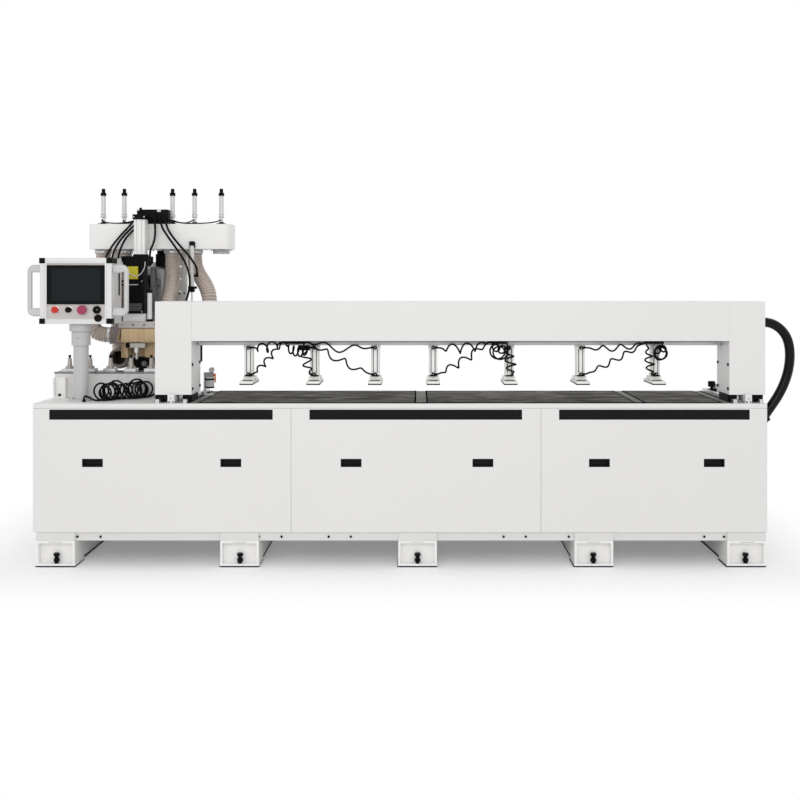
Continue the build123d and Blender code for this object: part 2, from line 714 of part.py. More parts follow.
def hmi_frame():
    """Profile frames, corner rails, rear plate, swivel disc and the two bow handles."""
    x0, x1 = BOX_X
    y0, y1 = BOX_Y
    z0, z1 = BOX_Z
    frame = profile_frame(y0, y0 + PROFILE) + profile_frame(y1 - PROFILE, y1)
    for xa, xb in ((x0, x0 + PROFILE), (x1 - PROFILE, x1)):
        for za, zb in ((z0, z0 + RAIL_TALL), (z1 - RAIL_TALL, z1)):
            frame += bar(xa, xb, y0 + PROFILE, y1 - PROFILE, za, zb)
    frame += bar(x0, x1, y0 + PROFILE, y1 - PROFILE, z0, z0 + 8)
    case_x = (x0 + PROFILE, x1 - PROFILE)
    case_z = (z0 + RAIL_TALL, z1 - RAIL_TALL)
    rear = bar(case_x[0], case_x[1], y1 - 4, y1, case_z[0], case_z[1])
    swivel = rod((POST_X, POST_Y, SLEEVE_Z[1] + 0.5), (POST_X, POST_Y, z0), SWIVEL_R)
    swivel -= rod((POST_X, POST_Y, SLEEVE_Z[1]), (POST_X, POST_Y, SLEEVE_Z[1] + 23), 18.06)
    for x in (x0, x1):
        side = -1 if x == x0 else 1
        skin_x = (x - 2, x) if side < 0 else (x, x + 2)
        frame += bar(skin_x[0], skin_x[1], y0 + PROFILE, y1 - PROFILE, z0 + RAIL_TALL, z1 - RAIL_TALL)
    left = bow_handle(x0, HANDLE_LEFT + 13)
    right = bow_handle(x1, RIGHT_HANDLE_X)
    return [frame, rear, swivel, left, right] + hmi_black_trim()


def hmi_screen():
    x0 = BOX_X[0] + PROFILE + 1
    x1 = BOX_X[1] - PROFILE - 1
    return [soft_bar(x0, x1, FACE_Y - 5, FACE_Y, SCREEN_Z[0], SCREEN_Z[1], 3, Axis.Y)]


def hmi_black_trim():
    """Corner caps of the frame, the round data port and its hanging cap."""
    x0, x1 = BOX_X
    z0, z1 = BOX_Z
    y = BOX_Y[0]
    pieces = []
    for xa, xb in ((x0, x0 + 27), (x1 - 27, x1)):
        for za, zb in ((z0, z0 + RAIL_TALL), (z1 - RAIL_TALL, z1)):
            pieces.append(soft_bar(xa, xb, y - 4, y, za, zb, 3, Axis.Y))
    port = rod((PORT_X, FACE_Y - 9, BUTTON_Z), (PORT_X, FACE_Y, BUTTON_Z), 21)
    port -= rod((PORT_X, FACE_Y - 9, BUTTON_Z), (PORT_X, FACE_Y - 3, BUTTON_Z), 12)
    cap = rod((PORT_X + 7, FACE_Y - 10, 1322), (PORT_X + 7, FACE_Y, 1322), 20)
    return pieces + [port, cap]


def push_button(x, radius, front, rear, stem):
    """A button cap with its stem through the case's face."""
    cap = rod((x, front, BUTTON_Z), (x, rear, BUTTON_Z), radius)
    cap = fillet(cap.edges().sort_by(Axis.Y)[0], 2.5)
    cap += rod((x, rear, BUTTON_Z), (x, FACE_Y + 12, BUTTON_Z), stem)
    return [cap]


# Head


def rail_block(x0, x1, y0, y1, z0, z1, groove):
    """A carriage block with the groove that clears its rail."""
    return bar(x0, x1, y0, y1, z0, z1) - groove


def x_carriage():
    """The cross slide on the X rails, with the Y rails on it and the X servo."""
    plate_z = (702.0, 732.0)
    carriage = bar(HEAD_X - 260, HEAD_X + 260, 885, 1240, plate_z[0], plate_z[1])
    half = X_RAIL[0] / 2 + SLIDE_GAP
    roof = BED_Z[1] + X_RAIL[1] + SLIDE_GAP
    for y in X_RAIL_Y:
        for x in (HEAD_X - 200, HEAD_X + 200):
            groove = bar(x - 45, x + 45, y - half, y + half, BED_Z[1], roof)
            carriage += rail_block(x - 45, x + 45, y - 28, y + 28, BED_Z[1] + 8, plate_z[0], groove)
    rails = [bar(x - 10, x + 10, 888, 1238, plate_z[1], 752) for x in (HEAD_X - 150, HEAD_X + 150)]
    servo = soft_bar(HEAD_X + 188, HEAD_X + 260, 1010, 1082, plate_z[1], 900, 6, Axis.Z)
    servo += soft_bar(HEAD_X + 194, HEAD_X + 254, 1016, 1076, 900, 940, 6, Axis.Z)
    return [carriage, servo] + rails


def head_plate():
    """The column on the Y rails, with the head plate, the manifold's ears and the side arm."""
    base = bar(HEAD_X - 178, HEAD_X + 178, 890, 1090, 766, 790)
    for x in (HEAD_X - 150, HEAD_X + 150):
        for y in (895, 1015):
            groove = bar(x - 10 - SLIDE_GAP, x + 10 + SLIDE_GAP, y, y + 70, 738, 752 + SLIDE_GAP)
            base += rail_block(x - 28, x + 28, y, y + 70, 738, 766, groove)
    column = bar(HEAD_X - 150, HEAD_X + 150, 890, 1090, 790, 1600)
    column -= bar(HEAD_X - 138, HEAD_X + 138, 902, 1078, 790, 1588)
    column -= bar(HEAD_X - 80, HEAD_X + 80, 1070, 1095, 900, 1200)
    plate = bar(PLATE_X[0], PLATE_X[1], PLATE_Y[0], PLATE_Y[1], PLATE_Z[0], PLATE_Z[1])
    for x0, x1 in ((PLATE_X[0], PLATE_X[0] + 61), (PLATE_X[1] - 61, PLATE_X[1])):
        plate += bar(x0, x1, PLATE_Y[0], PLATE_Y[1], PLATE_Z[1], 1840)
        plate += bar(x0, x1, MANIFOLD_Y[1], PLATE_Y[0], 1740, 1840)
    for x in (-1410, -1340):
        for z in (1460, 1540, 1615):
            plate -= rod((x, PLATE_Y[0] - 1, z), (x, PLATE_Y[1] + 1, z), 7)
    side_arm = bar(PLATE_X[1], -1195, 800, PLATE_Y[1], 1130, 1400)
    side_rail = bar(SIDE_RAIL_X - 10, SIDE_RAIL_X + 10, 782, 800, 1140, 1395)
    rails = []
    for x in Z_RAIL_X:
        half = Z_RAIL[0] / 2
        rails.append(bar(x - half, x + half, PLATE_Y[0] - Z_RAIL[1], PLATE_Y[0], 1010, 1605))
    x, z = FREE_CUFF
    cuff = rod((x, 672, z), (x, 722, z), 56)
    cuff += bar(x - 16, x + 16, 676, PLATE_Y[0], z - 65, z - 52)
    cuff -= rod((x, 670, z), (x, 730, z), DUST_HOSE_R + 0.5)
    return [base + column + plate + side_arm, side_rail, cuff] + rails


def dust_manifold():
    """A rounded sheet metal box with five cuffs below and the main spigot behind."""
    x0, x1 = MANIFOLD_X
    y0, y1 = MANIFOLD_Y
    z0, z1 = MANIFOLD_Z
    spigot_x = -1115.0
    spigot_z = (z0 + z1) / 2
    box = soft_bar(x0, x1, y0, y1, z0, z1, 45, Axis.Z)
    box += rod((spigot_x, y1, spigot_z), (spigot_x, y1 + 60, spigot_z), 70)
    box -= soft_bar(x0 + 3, x1 - 3, y0 + 3, y1 - 3, z0 + 3, z1 - 3, 42, Axis.Z)
    box -= rod((spigot_x, y1 - 10, spigot_z), (spigot_x, y1 + 60, spigot_z), 67)
    for x in OUTLET_X[:4]:
        box += rod((x, OUTLET_Y, CUFF_Z), (x, OUTLET_Y, z0), CUFF_R)
        box -= rod((x, OUTLET_Y, CUFF_Z - 1), (x, OUTLET_Y, z0 + 10), DUST_BORE_R)
    box += rod((OUTLET_X[4], OUTLET_Y, CUFF_Z), (OUTLET_X[4], OUTLET_Y, z0), CUFF_R)
    return [box]


def gate_cylinder(x):
    """A small round cylinder that stands on the manifold and works one gate."""
    top = MANIFOLD_Z[1]
    y = OUTLET_Y
    cylinder = bar(x - 26, x + 26, y - 26, y + 26, top, top + 8)
    cylinder += rod((x, y, top + 8), (x, y, top + 48), 12)
    cylinder += rod((x, y, top + 48), (x, y, top + 60), 17)
    cylinder += rod((x, y, top + 60), (x, y, top + 176), 13.5)
    cylinder += rod((x, y, top + 176), (x, y, top + 194), 17)
    cylinder += rod((x, y, top + 194), (x, y, top + 219), 10)
    return cylinder


def side_cylinder():
    """The slender cylinder that lowers the side unit, clamped to the manifold's front."""
    cylinder = rod((SIDE_X, SIDE_Y, 1470), (SIDE_X, SIDE_Y, 1735), 13)
    cylinder += rod((SIDE_X, SIDE_Y, 1459), (SIDE_X, SIDE_Y, 1484), 17)
    cylinder += rod((SIDE_X, SIDE_Y, 1735), (SIDE_X, SIDE_Y, 1760), 16)
    cylinder += bar(SIDE_X - 16, SIDE_X + 16, SIDE_Y, MANIFOLD_Y[0], 1722, 1756)
    elbow_x = SIDE_X + 30
    cylinder += rod((SIDE_X + 8, SIDE_Y, 1556), (elbow_x, SIDE_Y, 1556), 7)
    cylinder += rod((elbow_x, SIDE_Y, 1547), (elbow_x, SIDE_Y, 1574), 8)
    return cylinder - rod((SIDE_X, SIDE_Y, 1450), (SIDE_X, SIDE_Y, 1700), 6 + ROD_FIT)


def pneumatic_cylinders():
    return [gate_cylinder(x) for x in OUTLET_X] + [side_cylinder()]


TERMINAL_X = (-1551.0, -1365.0)
TERMINAL_Y = (652.0, 718.0)
TERMINAL_TOP = 1952.0


def head_electrics():
    """The Z servo above the slide, and the terminal box on the manifold with its glands."""
    servo = soft_bar(-1475, -1400, 788, PLATE_Y[0], 1612, 1690, 6, Axis.Z)
    servo += soft_bar(-1468, -1407, 794, 854, 1690, 1713, 6, Axis.Z)
    low = MANIFOLD_Z[1]
    box = soft_bar(TERMINAL_X[0], TERMINAL_X[1], TERMINAL_Y[0], TERMINAL_Y[1], low, TERMINAL_TOP, 4)
    lid = bar(TERMINAL_X[0] + 100, TERMINAL_X[1] + 6, TERMINAL_Y[0] - 6, TERMINAL_Y[0], low + 16, 1946)
    glands = [cable_gland(route) for route in CABLE_ROUTES.values()]
    glands += [cable_gland(route) for route in SIDE_CABLE_ROUTES.values()]
    return [servo, box + lid + glands]


def cable_gland(route):
    """A slanting gland of the terminal box, in line with the first run of its cable."""
    mouth = Vector(*route[0])
    back = (mouth - Vector(*route[1])).normalized()
    return rod(tuple(mouth + back * 42), tuple(mouth), 8)


def spindle_slide():
    """The Z plate on its rail blocks, with the arms that carry the two spindles."""
    x0 = -1625.0
    x1 = -1425.0
    slide = bar(x0, x1, Z_PLATE_Y[0], Z_PLATE_Y[1], 1240, 1600)
    slide += bar(-1562, -1464, Z_PLATE_Y[0], Z_PLATE_Y[1], 985, 1240)
    half = Z_RAIL[0] / 2 + SLIDE_GAP
    rail_front = PLATE_Y[0] - Z_RAIL[1] - SLIDE_GAP
    for x in Z_RAIL_X:
        for z in (1270, 1490):
            groove = bar(x - half, x + half, rail_front, PLATE_Y[0], z, z + 80)
            slide += rail_block(x - 28, x + 28, Z_PLATE_Y[1], PLATE_Y[0] - 4, z, z + 80, groove)
    slide += bar(-1570, -1480, 620, Z_PLATE_Y[0], 1345, 1560)
    return [slide]


def tube_elbow(mouth):
    """An elbow fitting on the front of the spindle's cap, with its mouth downwards."""
    x, y, z = mouth
    return rod((x, 505, z + 14), (x, y - 6, z + 14), 6.5) + rod((x, y, z + 14), (x, y, z), 5.5)


def spindle_housing():
    """Spindle motor, mount block, nose, cap, release cylinder, cable duct and the mortising motor."""
    x = SPINDLE_X
    body = soft_bar(x - 56, x + 56, 500, 620, 1334, 1533, 10, Axis.Z)
    body += soft_bar(x - 50, x + 50, 506, 620, 1533, 1611, 10, Axis.Z)
    cap_outline = [(x - 58, 1611), (x + 62, 1611), (x + 79, 1634), (x + 79, 1669), (x - 75, 1669), (x - 75, 1634)]
    cap_face = Plane.XZ.offset(-500) * make_face(Polyline(*cap_outline, close=True))
    body += extrude(cap_face, -130)
    for tube_end in (FRONT_TUBE_ROUTE[0], FRONT_TUBE_ROUTE[-1]):
        body += tube_elbow(tube_end)
    mount = soft_bar(x - 65, x + 65, 510, 640, HOOD_Z[1], 1334, 4, Axis.Z)
    mount += rod((x, SPINDLE_Y, 1240), (x, SPINDLE_Y, HOOD_Z[1]), 40)
    mount -= rod((x, SPINDLE_Y, 1239), (x, SPINDLE_Y, 1326), 14.06)
    tube_x = -1502.0
    tube = soft_bar(tube_x - 33.5, tube_x + 33.5, 530, 597, 1681, 1884, 8, Axis.Z)
    for side in (-1, 1):
        tube -= bar(tube_x + side * 15 - 3, tube_x + side * 15 + 3, 528, 535, 1681, 1884)
    tube += bar(tube_x - 36, tube_x + 36, 527, 600, 1669, 1681)
    tube_cap = soft_bar(tube_x - 39, tube_x + 39, 524, 603, 1884, 1914, 5, Axis.Z)
    yellow = bar(-1562, -1501, 500, 506, 1535, 1609)
    duct = bar(-1466, -1441, 640, 690, 1345, 1608)
    duct += bar(-1466, -1441, 690, Z_PLATE_Y[0], 1500, 1540)
    motor = soft_bar(-1564, -1462, 700, Z_PLATE_Y[0], 988, 1066, 6, Axis.Y)
    motor -= rod((MORTISE_X, 699, MORTISE_Z), (MORTISE_X, 730, MORTISE_Z), 8.06)
    return [body, mount, tube, tube_cap, yellow, duct, motor]


def dust_hood():
    """Hood plate with its rim, the arm behind it, both spigots, the air bar and its small cylinder."""
    x0, x1 = HOOD_X
    y0, y1 = HOOD_Y
    z0, z1 = HOOD_Z
    hood = bar(x0, x1, y0, y1, z0, z1)
    hood -= bar(x0 + 30, x1 - 30, y0 + 30, y1 - 30, z0, z1 - 12)
    hood -= rod((SPINDLE_X, SPINDLE_Y, z0), (SPINDLE_X, SPINDLE_Y, z1), 45)
    hood += bar(-1600, -1450, y1, Z_PLATE_Y[0], z0, z1)
    chute = bar(x0 - 42, x0, 560, 660, 1150, z1)
    chute -= bar(x0 - 38, x0, 564, 656, 1150, z1 - 4)
    chute += rod((x0 - 72, 610, 1205), (x0 - 42, 610, 1205), CUFF_R)
    chute -= rod((x0 - 73, 610, 1205), (x0 - 30, 610, 1205), DUST_BORE_R)
    hood += chute
    x, y = HOOD_SPIGOT
    hood += rod((x, y, z1), (x, y, z1 + 30), CUFF_R)
    hood -= rod((x, y, z0), (x, y, z1 + 31), DUST_BORE_R)
    for x in (-1590, -1330):
        hood += rod((x, y0 - 5, 1270), (x, y0, 1270), 6)
    air_bar = bar(-1569, -1459, 496, 528, 1137, 1163)
    for x in (-1555, -1473):
        air_bar += bar(x - 5, x + 5, 516, 526, 1163, z0 + 24)
    small = rod((-1438, 520, z1), (-1438, 520, z1 + 14), 17)
    small += rod((-1438, 520, z1 + 14), (-1438, 520, 1455), 13.5)
    small += rod((-1438, 520, 1455), (-1438, 520, 1470), 16)
    return [hood, air_bar, small]


STRAND_PITCH = 5.4
STRAND_WIDE = 4.2
STRAND_THICK = 3.0


def strand(x, y, low, along, lean):
    """One brush strand: a four-sided bar that hangs from the hood and leans a little."""
    top = HOOD_Z[0] - 6
    half = (STRAND_WIDE / 2, STRAND_THICK / 2) if along == "x" else (STRAND_THICK / 2, STRAND_WIDE / 2)
    upper = Plane(origin=(x, y, top)) * Rectangle(2 * half[0], 2 * half[1])
    lower = Plane(origin=(x + lean[0], y + lean[1], low)) * Rectangle(1.6 * half[0], 1.6 * half[1])
    return loft([upper, lower], ruled=True)


def brush_row(start, length, along, low, lean):
    """A row of strands on a slice of their backing."""
    x, y = start
    top = HOOD_Z[0]
    count = int(length / STRAND_PITCH)
    strands = []
    for i in range(count):
        step = (i + 0.5) * STRAND_PITCH
        place = (x + step, y) if along == "x" else (x, y + step)
        shorter = 3.0 * math.sin(2.3 * i) + 2.0 * math.sin(5.1 * i)
        strands.append(strand(place[0], place[1], low + 5 + shorter, along, lean))
    if along == "x":
        backing = bar(x, x + length, y - 4, y + 4, top - 8, top)
    else:
        backing = bar(x - 4, x + 4, y, y + length, top - 8, top)
    return backing + strands


def hood_brushes():
    """Front, side and rear brushes of the hood; the rear ones are longer."""
    x0, x1 = HOOD_X
    y0, y1 = HOOD_Y
    wide = x1 - x0 - 32
    rows = [
        brush_row((x0 + 16, y0 + 5), wide, "x", SKIRT_Z, (0, -5)),
        brush_row((x0 + 16, y0 + 22), wide, "x", SKIRT_Z + 8, (0, 2)),
        brush_row((x0 + 5, y0 + 12), 62, "y", SKIRT_Z, (-16, 0)),
        brush_row((x1 - 5, y0 + 12), 190, "y", SKIRT_Z, (8, 0)),
        brush_row((x1 - 20, y0 + 12), 170, "y", LONG_SKIRT_Z, (0, 0)),
        brush_row((x0 + 16, y1 - 5), wide, "x", LONG_SKIRT_Z, (0, 4)),
        brush_row((x0 + 16, y1 - 22), wide - 30, "x", LONG_SKIRT_Z, (0, 0)),
        brush_row((x0 + 20, y0 + 90), 90, "y", LONG_SKIRT_Z, (-4, 0)),
    ]
    return rows


def spindle_rotor():
    """Spindle shaft, tool holder, collet nut and cutter on one axis."""
    x = SPINDLE_X
    y = SPINDLE_Y
    rotor = rod((x, y, 1226), (x, y, 1320), 14)
    rotor += rod((x, y, 1140), (x, y, 1234), 23)
    rotor += rod((x, y, 1104), (x, y, 1140), 16)
    rotor += rod((x, y, 1066), (x, y, 1104), 6)
    return [rotor]


def mortise_bit():
    """Shaft, chuck and bit of the horizontal spindle."""
    x = MORTISE_X
    z = MORTISE_Z
    bit = rod((x, 690, z), (x, 726, z), 8)
    bit += rod((x, 676, z), (x, 694, z), 16)
    bit += rod((x, 656, z), (x, 676, z), 6)
    return [bit]


def side_unit():
    """The boring unit at the head's right, with its rail block, rod, dust cuff and boring bit."""
    z0, z1 = SIDE_UNIT_Z
    block_z = (z0 - 15, z1 - 40)
    housing = soft_bar(-1255, -1068, 600, 740, z0, z1, 8, Axis.Y)
    housing += bar(-1285, -1205, 740, 756, z0 - 40, z1)
    half = 10 + SLIDE_GAP
    groove = bar(SIDE_RAIL_X - half, SIDE_RAIL_X + half, 782 - SLIDE_GAP, 800, block_z[0], block_z[1])
    housing += rail_block(SIDE_RAIL_X - 28, SIDE_RAIL_X + 28, 756, 796, block_z[0], block_z[1], groove)
    housing += rod((SIDE_X, SIDE_Y, z1), (SIDE_X, SIDE_Y, 1580), 6)
    x, y = SIDE_SPIGOT
    housing += rod((x, y, z1), (x, y, z1 + 30), CUFF_R)
    housing -= rod((x, y, z1 - 40), (x, y, z1 + 31), DUST_BORE_R)
    x, y = SIDE_BIT
    housing += rod((x, y, 1150), (x, y, z0), 14)
    housing += rod((x, y, 1044), (x, y, 1150), 8)
    return [housing]


# Cords and hoses


def corner_radii(points):
    """The largest arc that the runs on both sides of each point allow."""
    vectors = [Vector(*p) for p in points]
    radii = []
    for a, b, c in zip(vectors, vectors[1:], vectors[2:]):
        turn = math.radians((b - a).get_angle(c - b))
        radii.append(0.45 * min((b - a).length, (c - b).length) / math.tan(turn / 2))
    return radii


def cord_path(points):
    return FilletPolyline(*points, radius=corner_radii(points))


def swept_tube(path, radius):
    """A round tube along a path."""
    start = Plane(origin=path @ 0, z_dir=path % 0)
    return sweep(start * Circle(radius), path=path)


def cord(name, points, diameter):
    """A plain cord along hand-chosen points; prints its tightest arc, length and volume check."""
    path = cord_path(points)
    tube = swept_tube(path, diameter / 2)
    expected = math.pi * diameter * diameter / 4 * path.length
    tightest = min(corner_radii(points))
    print(name, "length", round(path.length), "tightest", round(tightest), "volume", round(tube.volume / expected, 3))
    return tube


def ribbed_hose(name, points, steady):
    """A dust hose: ribs as a ruled run of circles along the path, and a plain bore."""
    path = cord_path(points)
    length = path.length
    ribs = int((length - 2) / RIB_PITCH)
    pitch = length / ribs
    low = DUST_HOSE_R - RIB_DEEP
    sections = []
    for i in range(ribs):
        for share, radius in ((0.0, low), (0.3, DUST_HOSE_R), (0.6, DUST_HOSE_R), (0.9, low)):
            place = (i + share) * pitch / length
            sections.append(ring_face(path, place, radius, steady))
    sections.append(ring_face(path, 1.0, low, steady))
    print(name, "length", round(length), "ribs", ribs)
    return loft(sections, ruled=True) - swept_tube(path, DUST_BORE_R)


def ring_face(path, place, radius, steady):
    """A disc across the path, turned to a steady direction."""
    origin = path @ place
    along = path % place
    across = Vector(*steady) - along * along.dot(Vector(*steady))
    return Plane(origin=origin, x_dir=across, z_dir=along) * Circle(radius)


DUST_ROUTES = {
    "left dust hose": [
        (-1780, 750, 1690),
        (-1780, 750, 1580),
        (-1788, 718, 1450),
        (-1806, 668, 1330),
        (-1806, 616, 1250),
        (-1760, 610, 1205),
        (-1680, 610, 1205),
    ],
    "cuff dust hose": [
        (-1653, 750, 1690),
        (-1653, 750, 1590),
        (-1690, 782, 1470),
        (-1706, 798, 1340),
        (-1704, 806, 1210),
        (-1694, 804, 1120),
        (-1668, 770, 1065),
        (-1668, 676, 1065),
    ],
    "hood dust hose": [
        (-1361, 750, 1690),
        (-1361, 750, 1620),
        (-1357, 728, 1540),
        (-1348, 660, 1460),
        (-1353, 612, 1400),
        (-1362, 600, 1350),
        (-1362, 600, 1318),
    ],
    "side dust hose": [
        (-1227, 750, 1690),
        (-1227, 750, 1630),
        (-1206, 742, 1572),
        (-1164, 722, 1516),
        (-1138, 704, 1470),
        (-1124, 690, 1424),
        (-1124, 690, 1380),
    ],
}


def dust_hoses():
    steady = {"left dust hose": (0, 1, 0)}
    return [ribbed_hose(name, points, steady.get(name, (1, 0, 0))) for name, points in DUST_ROUTES.items()]


CABLE_DIAMETER = 11.0
GATE_TUBE_DIAMETER = 6.0
CABLE_ROUTES = {
    "left cable 1": [
        (-1546, 640, 1897),
        (-1564, 627, 1878),
        (-1598, 618, 1836),
        (-1644, 614, 1786),
        (-1690, 610, 1726),
        (-1722, 606, 1668),
        (-1732, 600, 1608),
        (-1716, 594, 1554),
        (-1674, 588, 1516),
        (-1628, 584, 1500),
        (-1581, 584, 1500),
    ],
    "left cable 2": [
        (-1526, 640, 1884),
        (-1545, 623, 1865),
        (-1576, 612, 1834),
        (-1612, 606, 1796),
        (-1650, 600, 1744),
        (-1676, 594, 1686),
        (-1684, 588, 1626),
        (-1670, 580, 1572),
        (-1640, 572, 1536),
        (-1612, 566, 1520),
        (-1581, 566, 1520),
    ],
    "left cable 3": [
        (-1506, 640, 1873),
        (-1526, 623, 1855),
        (-1560, 608, 1824),
        (-1596, 600, 1786),
        (-1626, 592, 1728),
        (-1642, 584, 1668),
        (-1640, 574, 1612),
        (-1622, 564, 1580),
        (-1600, 556, 1572),
        (-1575, 556, 1572),
    ],
    "centre cable": [
        (-1440, 636, 1904),
        (-1434, 616, 1872),
        (-1428, 608, 1816),
        (-1434, 606, 1756),
        (-1456, 590, 1704),
        (-1456, 590, 1669),
    ],
}
FRONT_TUBE_ROUTE = [
    (-1588, 484, 1636),
    (-1588, 484, 1612),
    (-1568, 481, 1586),
    (-1538, 478, 1562),
    (-1508, 477, 1549),
    (-1481, 478, 1560),
    (-1462, 481, 1590),
    (-1455, 484, 1614),
    (-1455, 484, 1637),
]
SIDE_CABLE_ROUTES = {
    "right cable 1": [
        (-1376, 634, 1893),
        (-1364, 612, 1850),
        (-1336, 600, 1802),
        (-1290, 596, 1744),
        (-1234, 594, 1684),
        (-1204, 604, 1640),
        (-1189, 622, 1610),
        (-1187, 632, 1592),
        (-1187, 632, 1574),
    ],
    "right cable 2": [
        (-1408, 634, 1890),
        (-1394, 612, 1850),
        (-1366, 596, 1808),
        (-1328, 588, 1756),
        (-1280, 588, 1690),
        (-1242, 590, 1626),
        (-1222, 592, 1560),
        (-1220, 594, 1500),
        (-1232, 602, 1448),
        (-1250, 626, 1408),
        (-1262, 668, 1386),
        (-1268, 718, 1382),
        (-1268, 764, 1384),
        (-1268, 800, 1384),
    ],
}
GATE_TUBE_ROUTES = {
    "gate tube 1": [
        (-1551, 690, 1890),
        (-1573, 690, 1890),
        (-1606, 688, 1878),
        (-1668, 686, 1871),
        (-1730, 688, 1873),
        (-1768, 696, 1884),
        (-1780, 712, 1894),
        (-1780, 738, 1894),
    ],
    "gate tube 2": [
        (-1551, 704, 1884),
        (-1571, 704, 1884),
        (-1600, 702, 1873),
        (-1636, 705, 1876),
        (-1653, 718, 1892),
        (-1653, 738, 1892),
    ],
    "gate tube 3": [
        (-1395, 718, 1900),
        (-1395, 736, 1900),
        (-1388, 750, 1900),
        (-1373, 750, 1900),
    ],
    "gate tube 4": [
        (-1365, 690, 1890),
        (-1343, 690, 1890),
        (-1312, 688, 1877),
        (-1268, 688, 1872),
        (-1240, 698, 1882),
        (-1227, 714, 1894),
        (-1227, 738, 1894),
    ],
    "gate tube 5": [
        (-1365, 674, 1884),
        (-1341, 674, 1884),
        (-1300, 672, 1872),
        (-1230, 668, 1869),
        (-1160, 670, 1870),
        (-1100, 682, 1876),
        (-1072, 700, 1886),
        (-1065, 718, 1894),
        (-1065, 738, 1894),
    ],
}


def head_cables():
    cables = [cord(name, points, CABLE_DIAMETER) for name, points in CABLE_ROUTES.items()]
    return cables + [cord("front tube", FRONT_TUBE_ROUTE, GATE_TUBE_DIAMETER)]


def side_cables():
    cables = [cord(name, points, CABLE_DIAMETER) for name, points in SIDE_CABLE_ROUTES.items()]
    tubes = [cord(name, points, GATE_TUBE_DIAMETER) for name, points in GATE_TUBE_ROUTES.items()]
    return cables + tubes


def elbow_point(reach):
    """A point on the axis of the slanting base gland, by its distance from the gland's middle."""
    x = RIGHT + 14 + reach * math.cos(CONDUIT_SLOPE)
    z = CONDUIT_LOW_Z + reach * math.sin(CONDUIT_SLOPE)
    return (x, CONDUIT_Y, z)


CONDUIT_ROUTE = [
    (RIGHT + GLAND_LONG, CONDUIT_Y, CONDUIT_TOP_Z),
    (2040, CONDUIT_Y, CONDUIT_TOP_Z),
    (2092, CONDUIT_Y, 1275),
    (2132, CONDUIT_Y, 1233),
    (2153, CONDUIT_Y, 1180),
    (2159, CONDUIT_Y, 1110),
    (2150, CONDUIT_Y, 1036),
    (2128, CONDUIT_Y, 964),
    (2092, CONDUIT_Y, 892),
    elbow_point(ELBOW_LONG + 52),
    elbow_point(ELBOW_LONG),
]


def cable_conduit():
    return [cord("cable conduit", CONDUIT_ROUTE, CONDUIT_DIAMETER)]


def bridge_gland():
    """A round gland with its nut on the bridge's right leg."""
    z = CONDUIT_TOP_Z
    gland = rod((RIGHT, CONDUIT_Y, z), (RIGHT + 8, CONDUIT_Y, z), GLAND_R + 5)
    gland += rod((RIGHT + 8, CONDUIT_Y, z), (RIGHT + GLAND_LONG, CONDUIT_Y, z), GLAND_R)
    return [gland]


def base_gland():
    """A slanting gland with a round flange on the base's right side."""
    z = CONDUIT_LOW_Z
    gland = rod((RIGHT, CONDUIT_Y, z), (RIGHT + 8, CONDUIT_Y, z), GLAND_R + 7)
    gland += Pos(*elbow_point(0)) * Sphere(GLAND_R + 1)
    gland += rod(elbow_point(0), elbow_point(ELBOW_LONG), GLAND_R)
    gland += rod(elbow_point(ELBOW_LONG - 14), elbow_point(ELBOW_LONG), GLAND_R + 3)
    return [gland - bar(RIGHT - 60, RIGHT, CONDUIT_Y - 60, CONDUIT_Y + 60, z - 60, z + 80)]


def unit(vector):
    return vector.normalized()


def arc_or_line(start, end, tangent):
    """A circular arc from start along the tangent to end, or a line where they are in line."""
    if unit(end - start).cross(tangent).length < 1e-6:
        return Line(start, end)
    return TangentArc(start, end, tangent=tangent)


def biarc(p, p_dir, q, q_dir):
    """Two arcs that leave p along p_dir, meet smoothly and reach q along q_dir."""
    v = q - p
    total = p_dir + q_dir
    k = 2 * (1 - p_dir.dot(q_dir))
    b = v.dot(total)
    if k < 1e-9:
        d = v.dot(v) / (2 * b)
    else:
        d = (math.sqrt(b * b + k * v.dot(v)) - b) / k
    first = p + p_dir * d
    second = q - q_dir * d
    middle = (first + second) * 0.5
    return [arc_or_line(p, middle, p_dir), arc_or_line(middle, q, unit(second - first))]


def wound_tube(name, knots, diameter):
    """One unbroken tube through points with directions; prints its least gap to itself."""
    edges = []
    for (p, p_dir), (q, q_dir) in zip(knots, knots[1:]):
        edges += biarc(p, p_dir, q, q_dir)
    path = Wire(edges)
    print(name, "length", round(path.length), "least gap", round(least_gap(path, diameter), 2))
    return swept_tube(path, diameter / 2)


def least_gap(path, diameter):
    """The least distance between two places of a tube that are not neighbours along it."""
    step = diameter / 3
    count = int(path.length / step)
    points = [path @ (i / count) for i in range(count + 1)]
    apart = int(3.0 * diameter / step) + 1
    least = float("inf")
    for i, p in enumerate(points):
        for q in points[i + apart:]:
            least = min(least, (q - p).length)
    return least - diameter


def smooth(share):
    """Rises smoothly from 0 to 1 over the range 0 to 1."""
    t = max(0.0, min(1.0, share))
    return t * t * (3 - 2 * t)


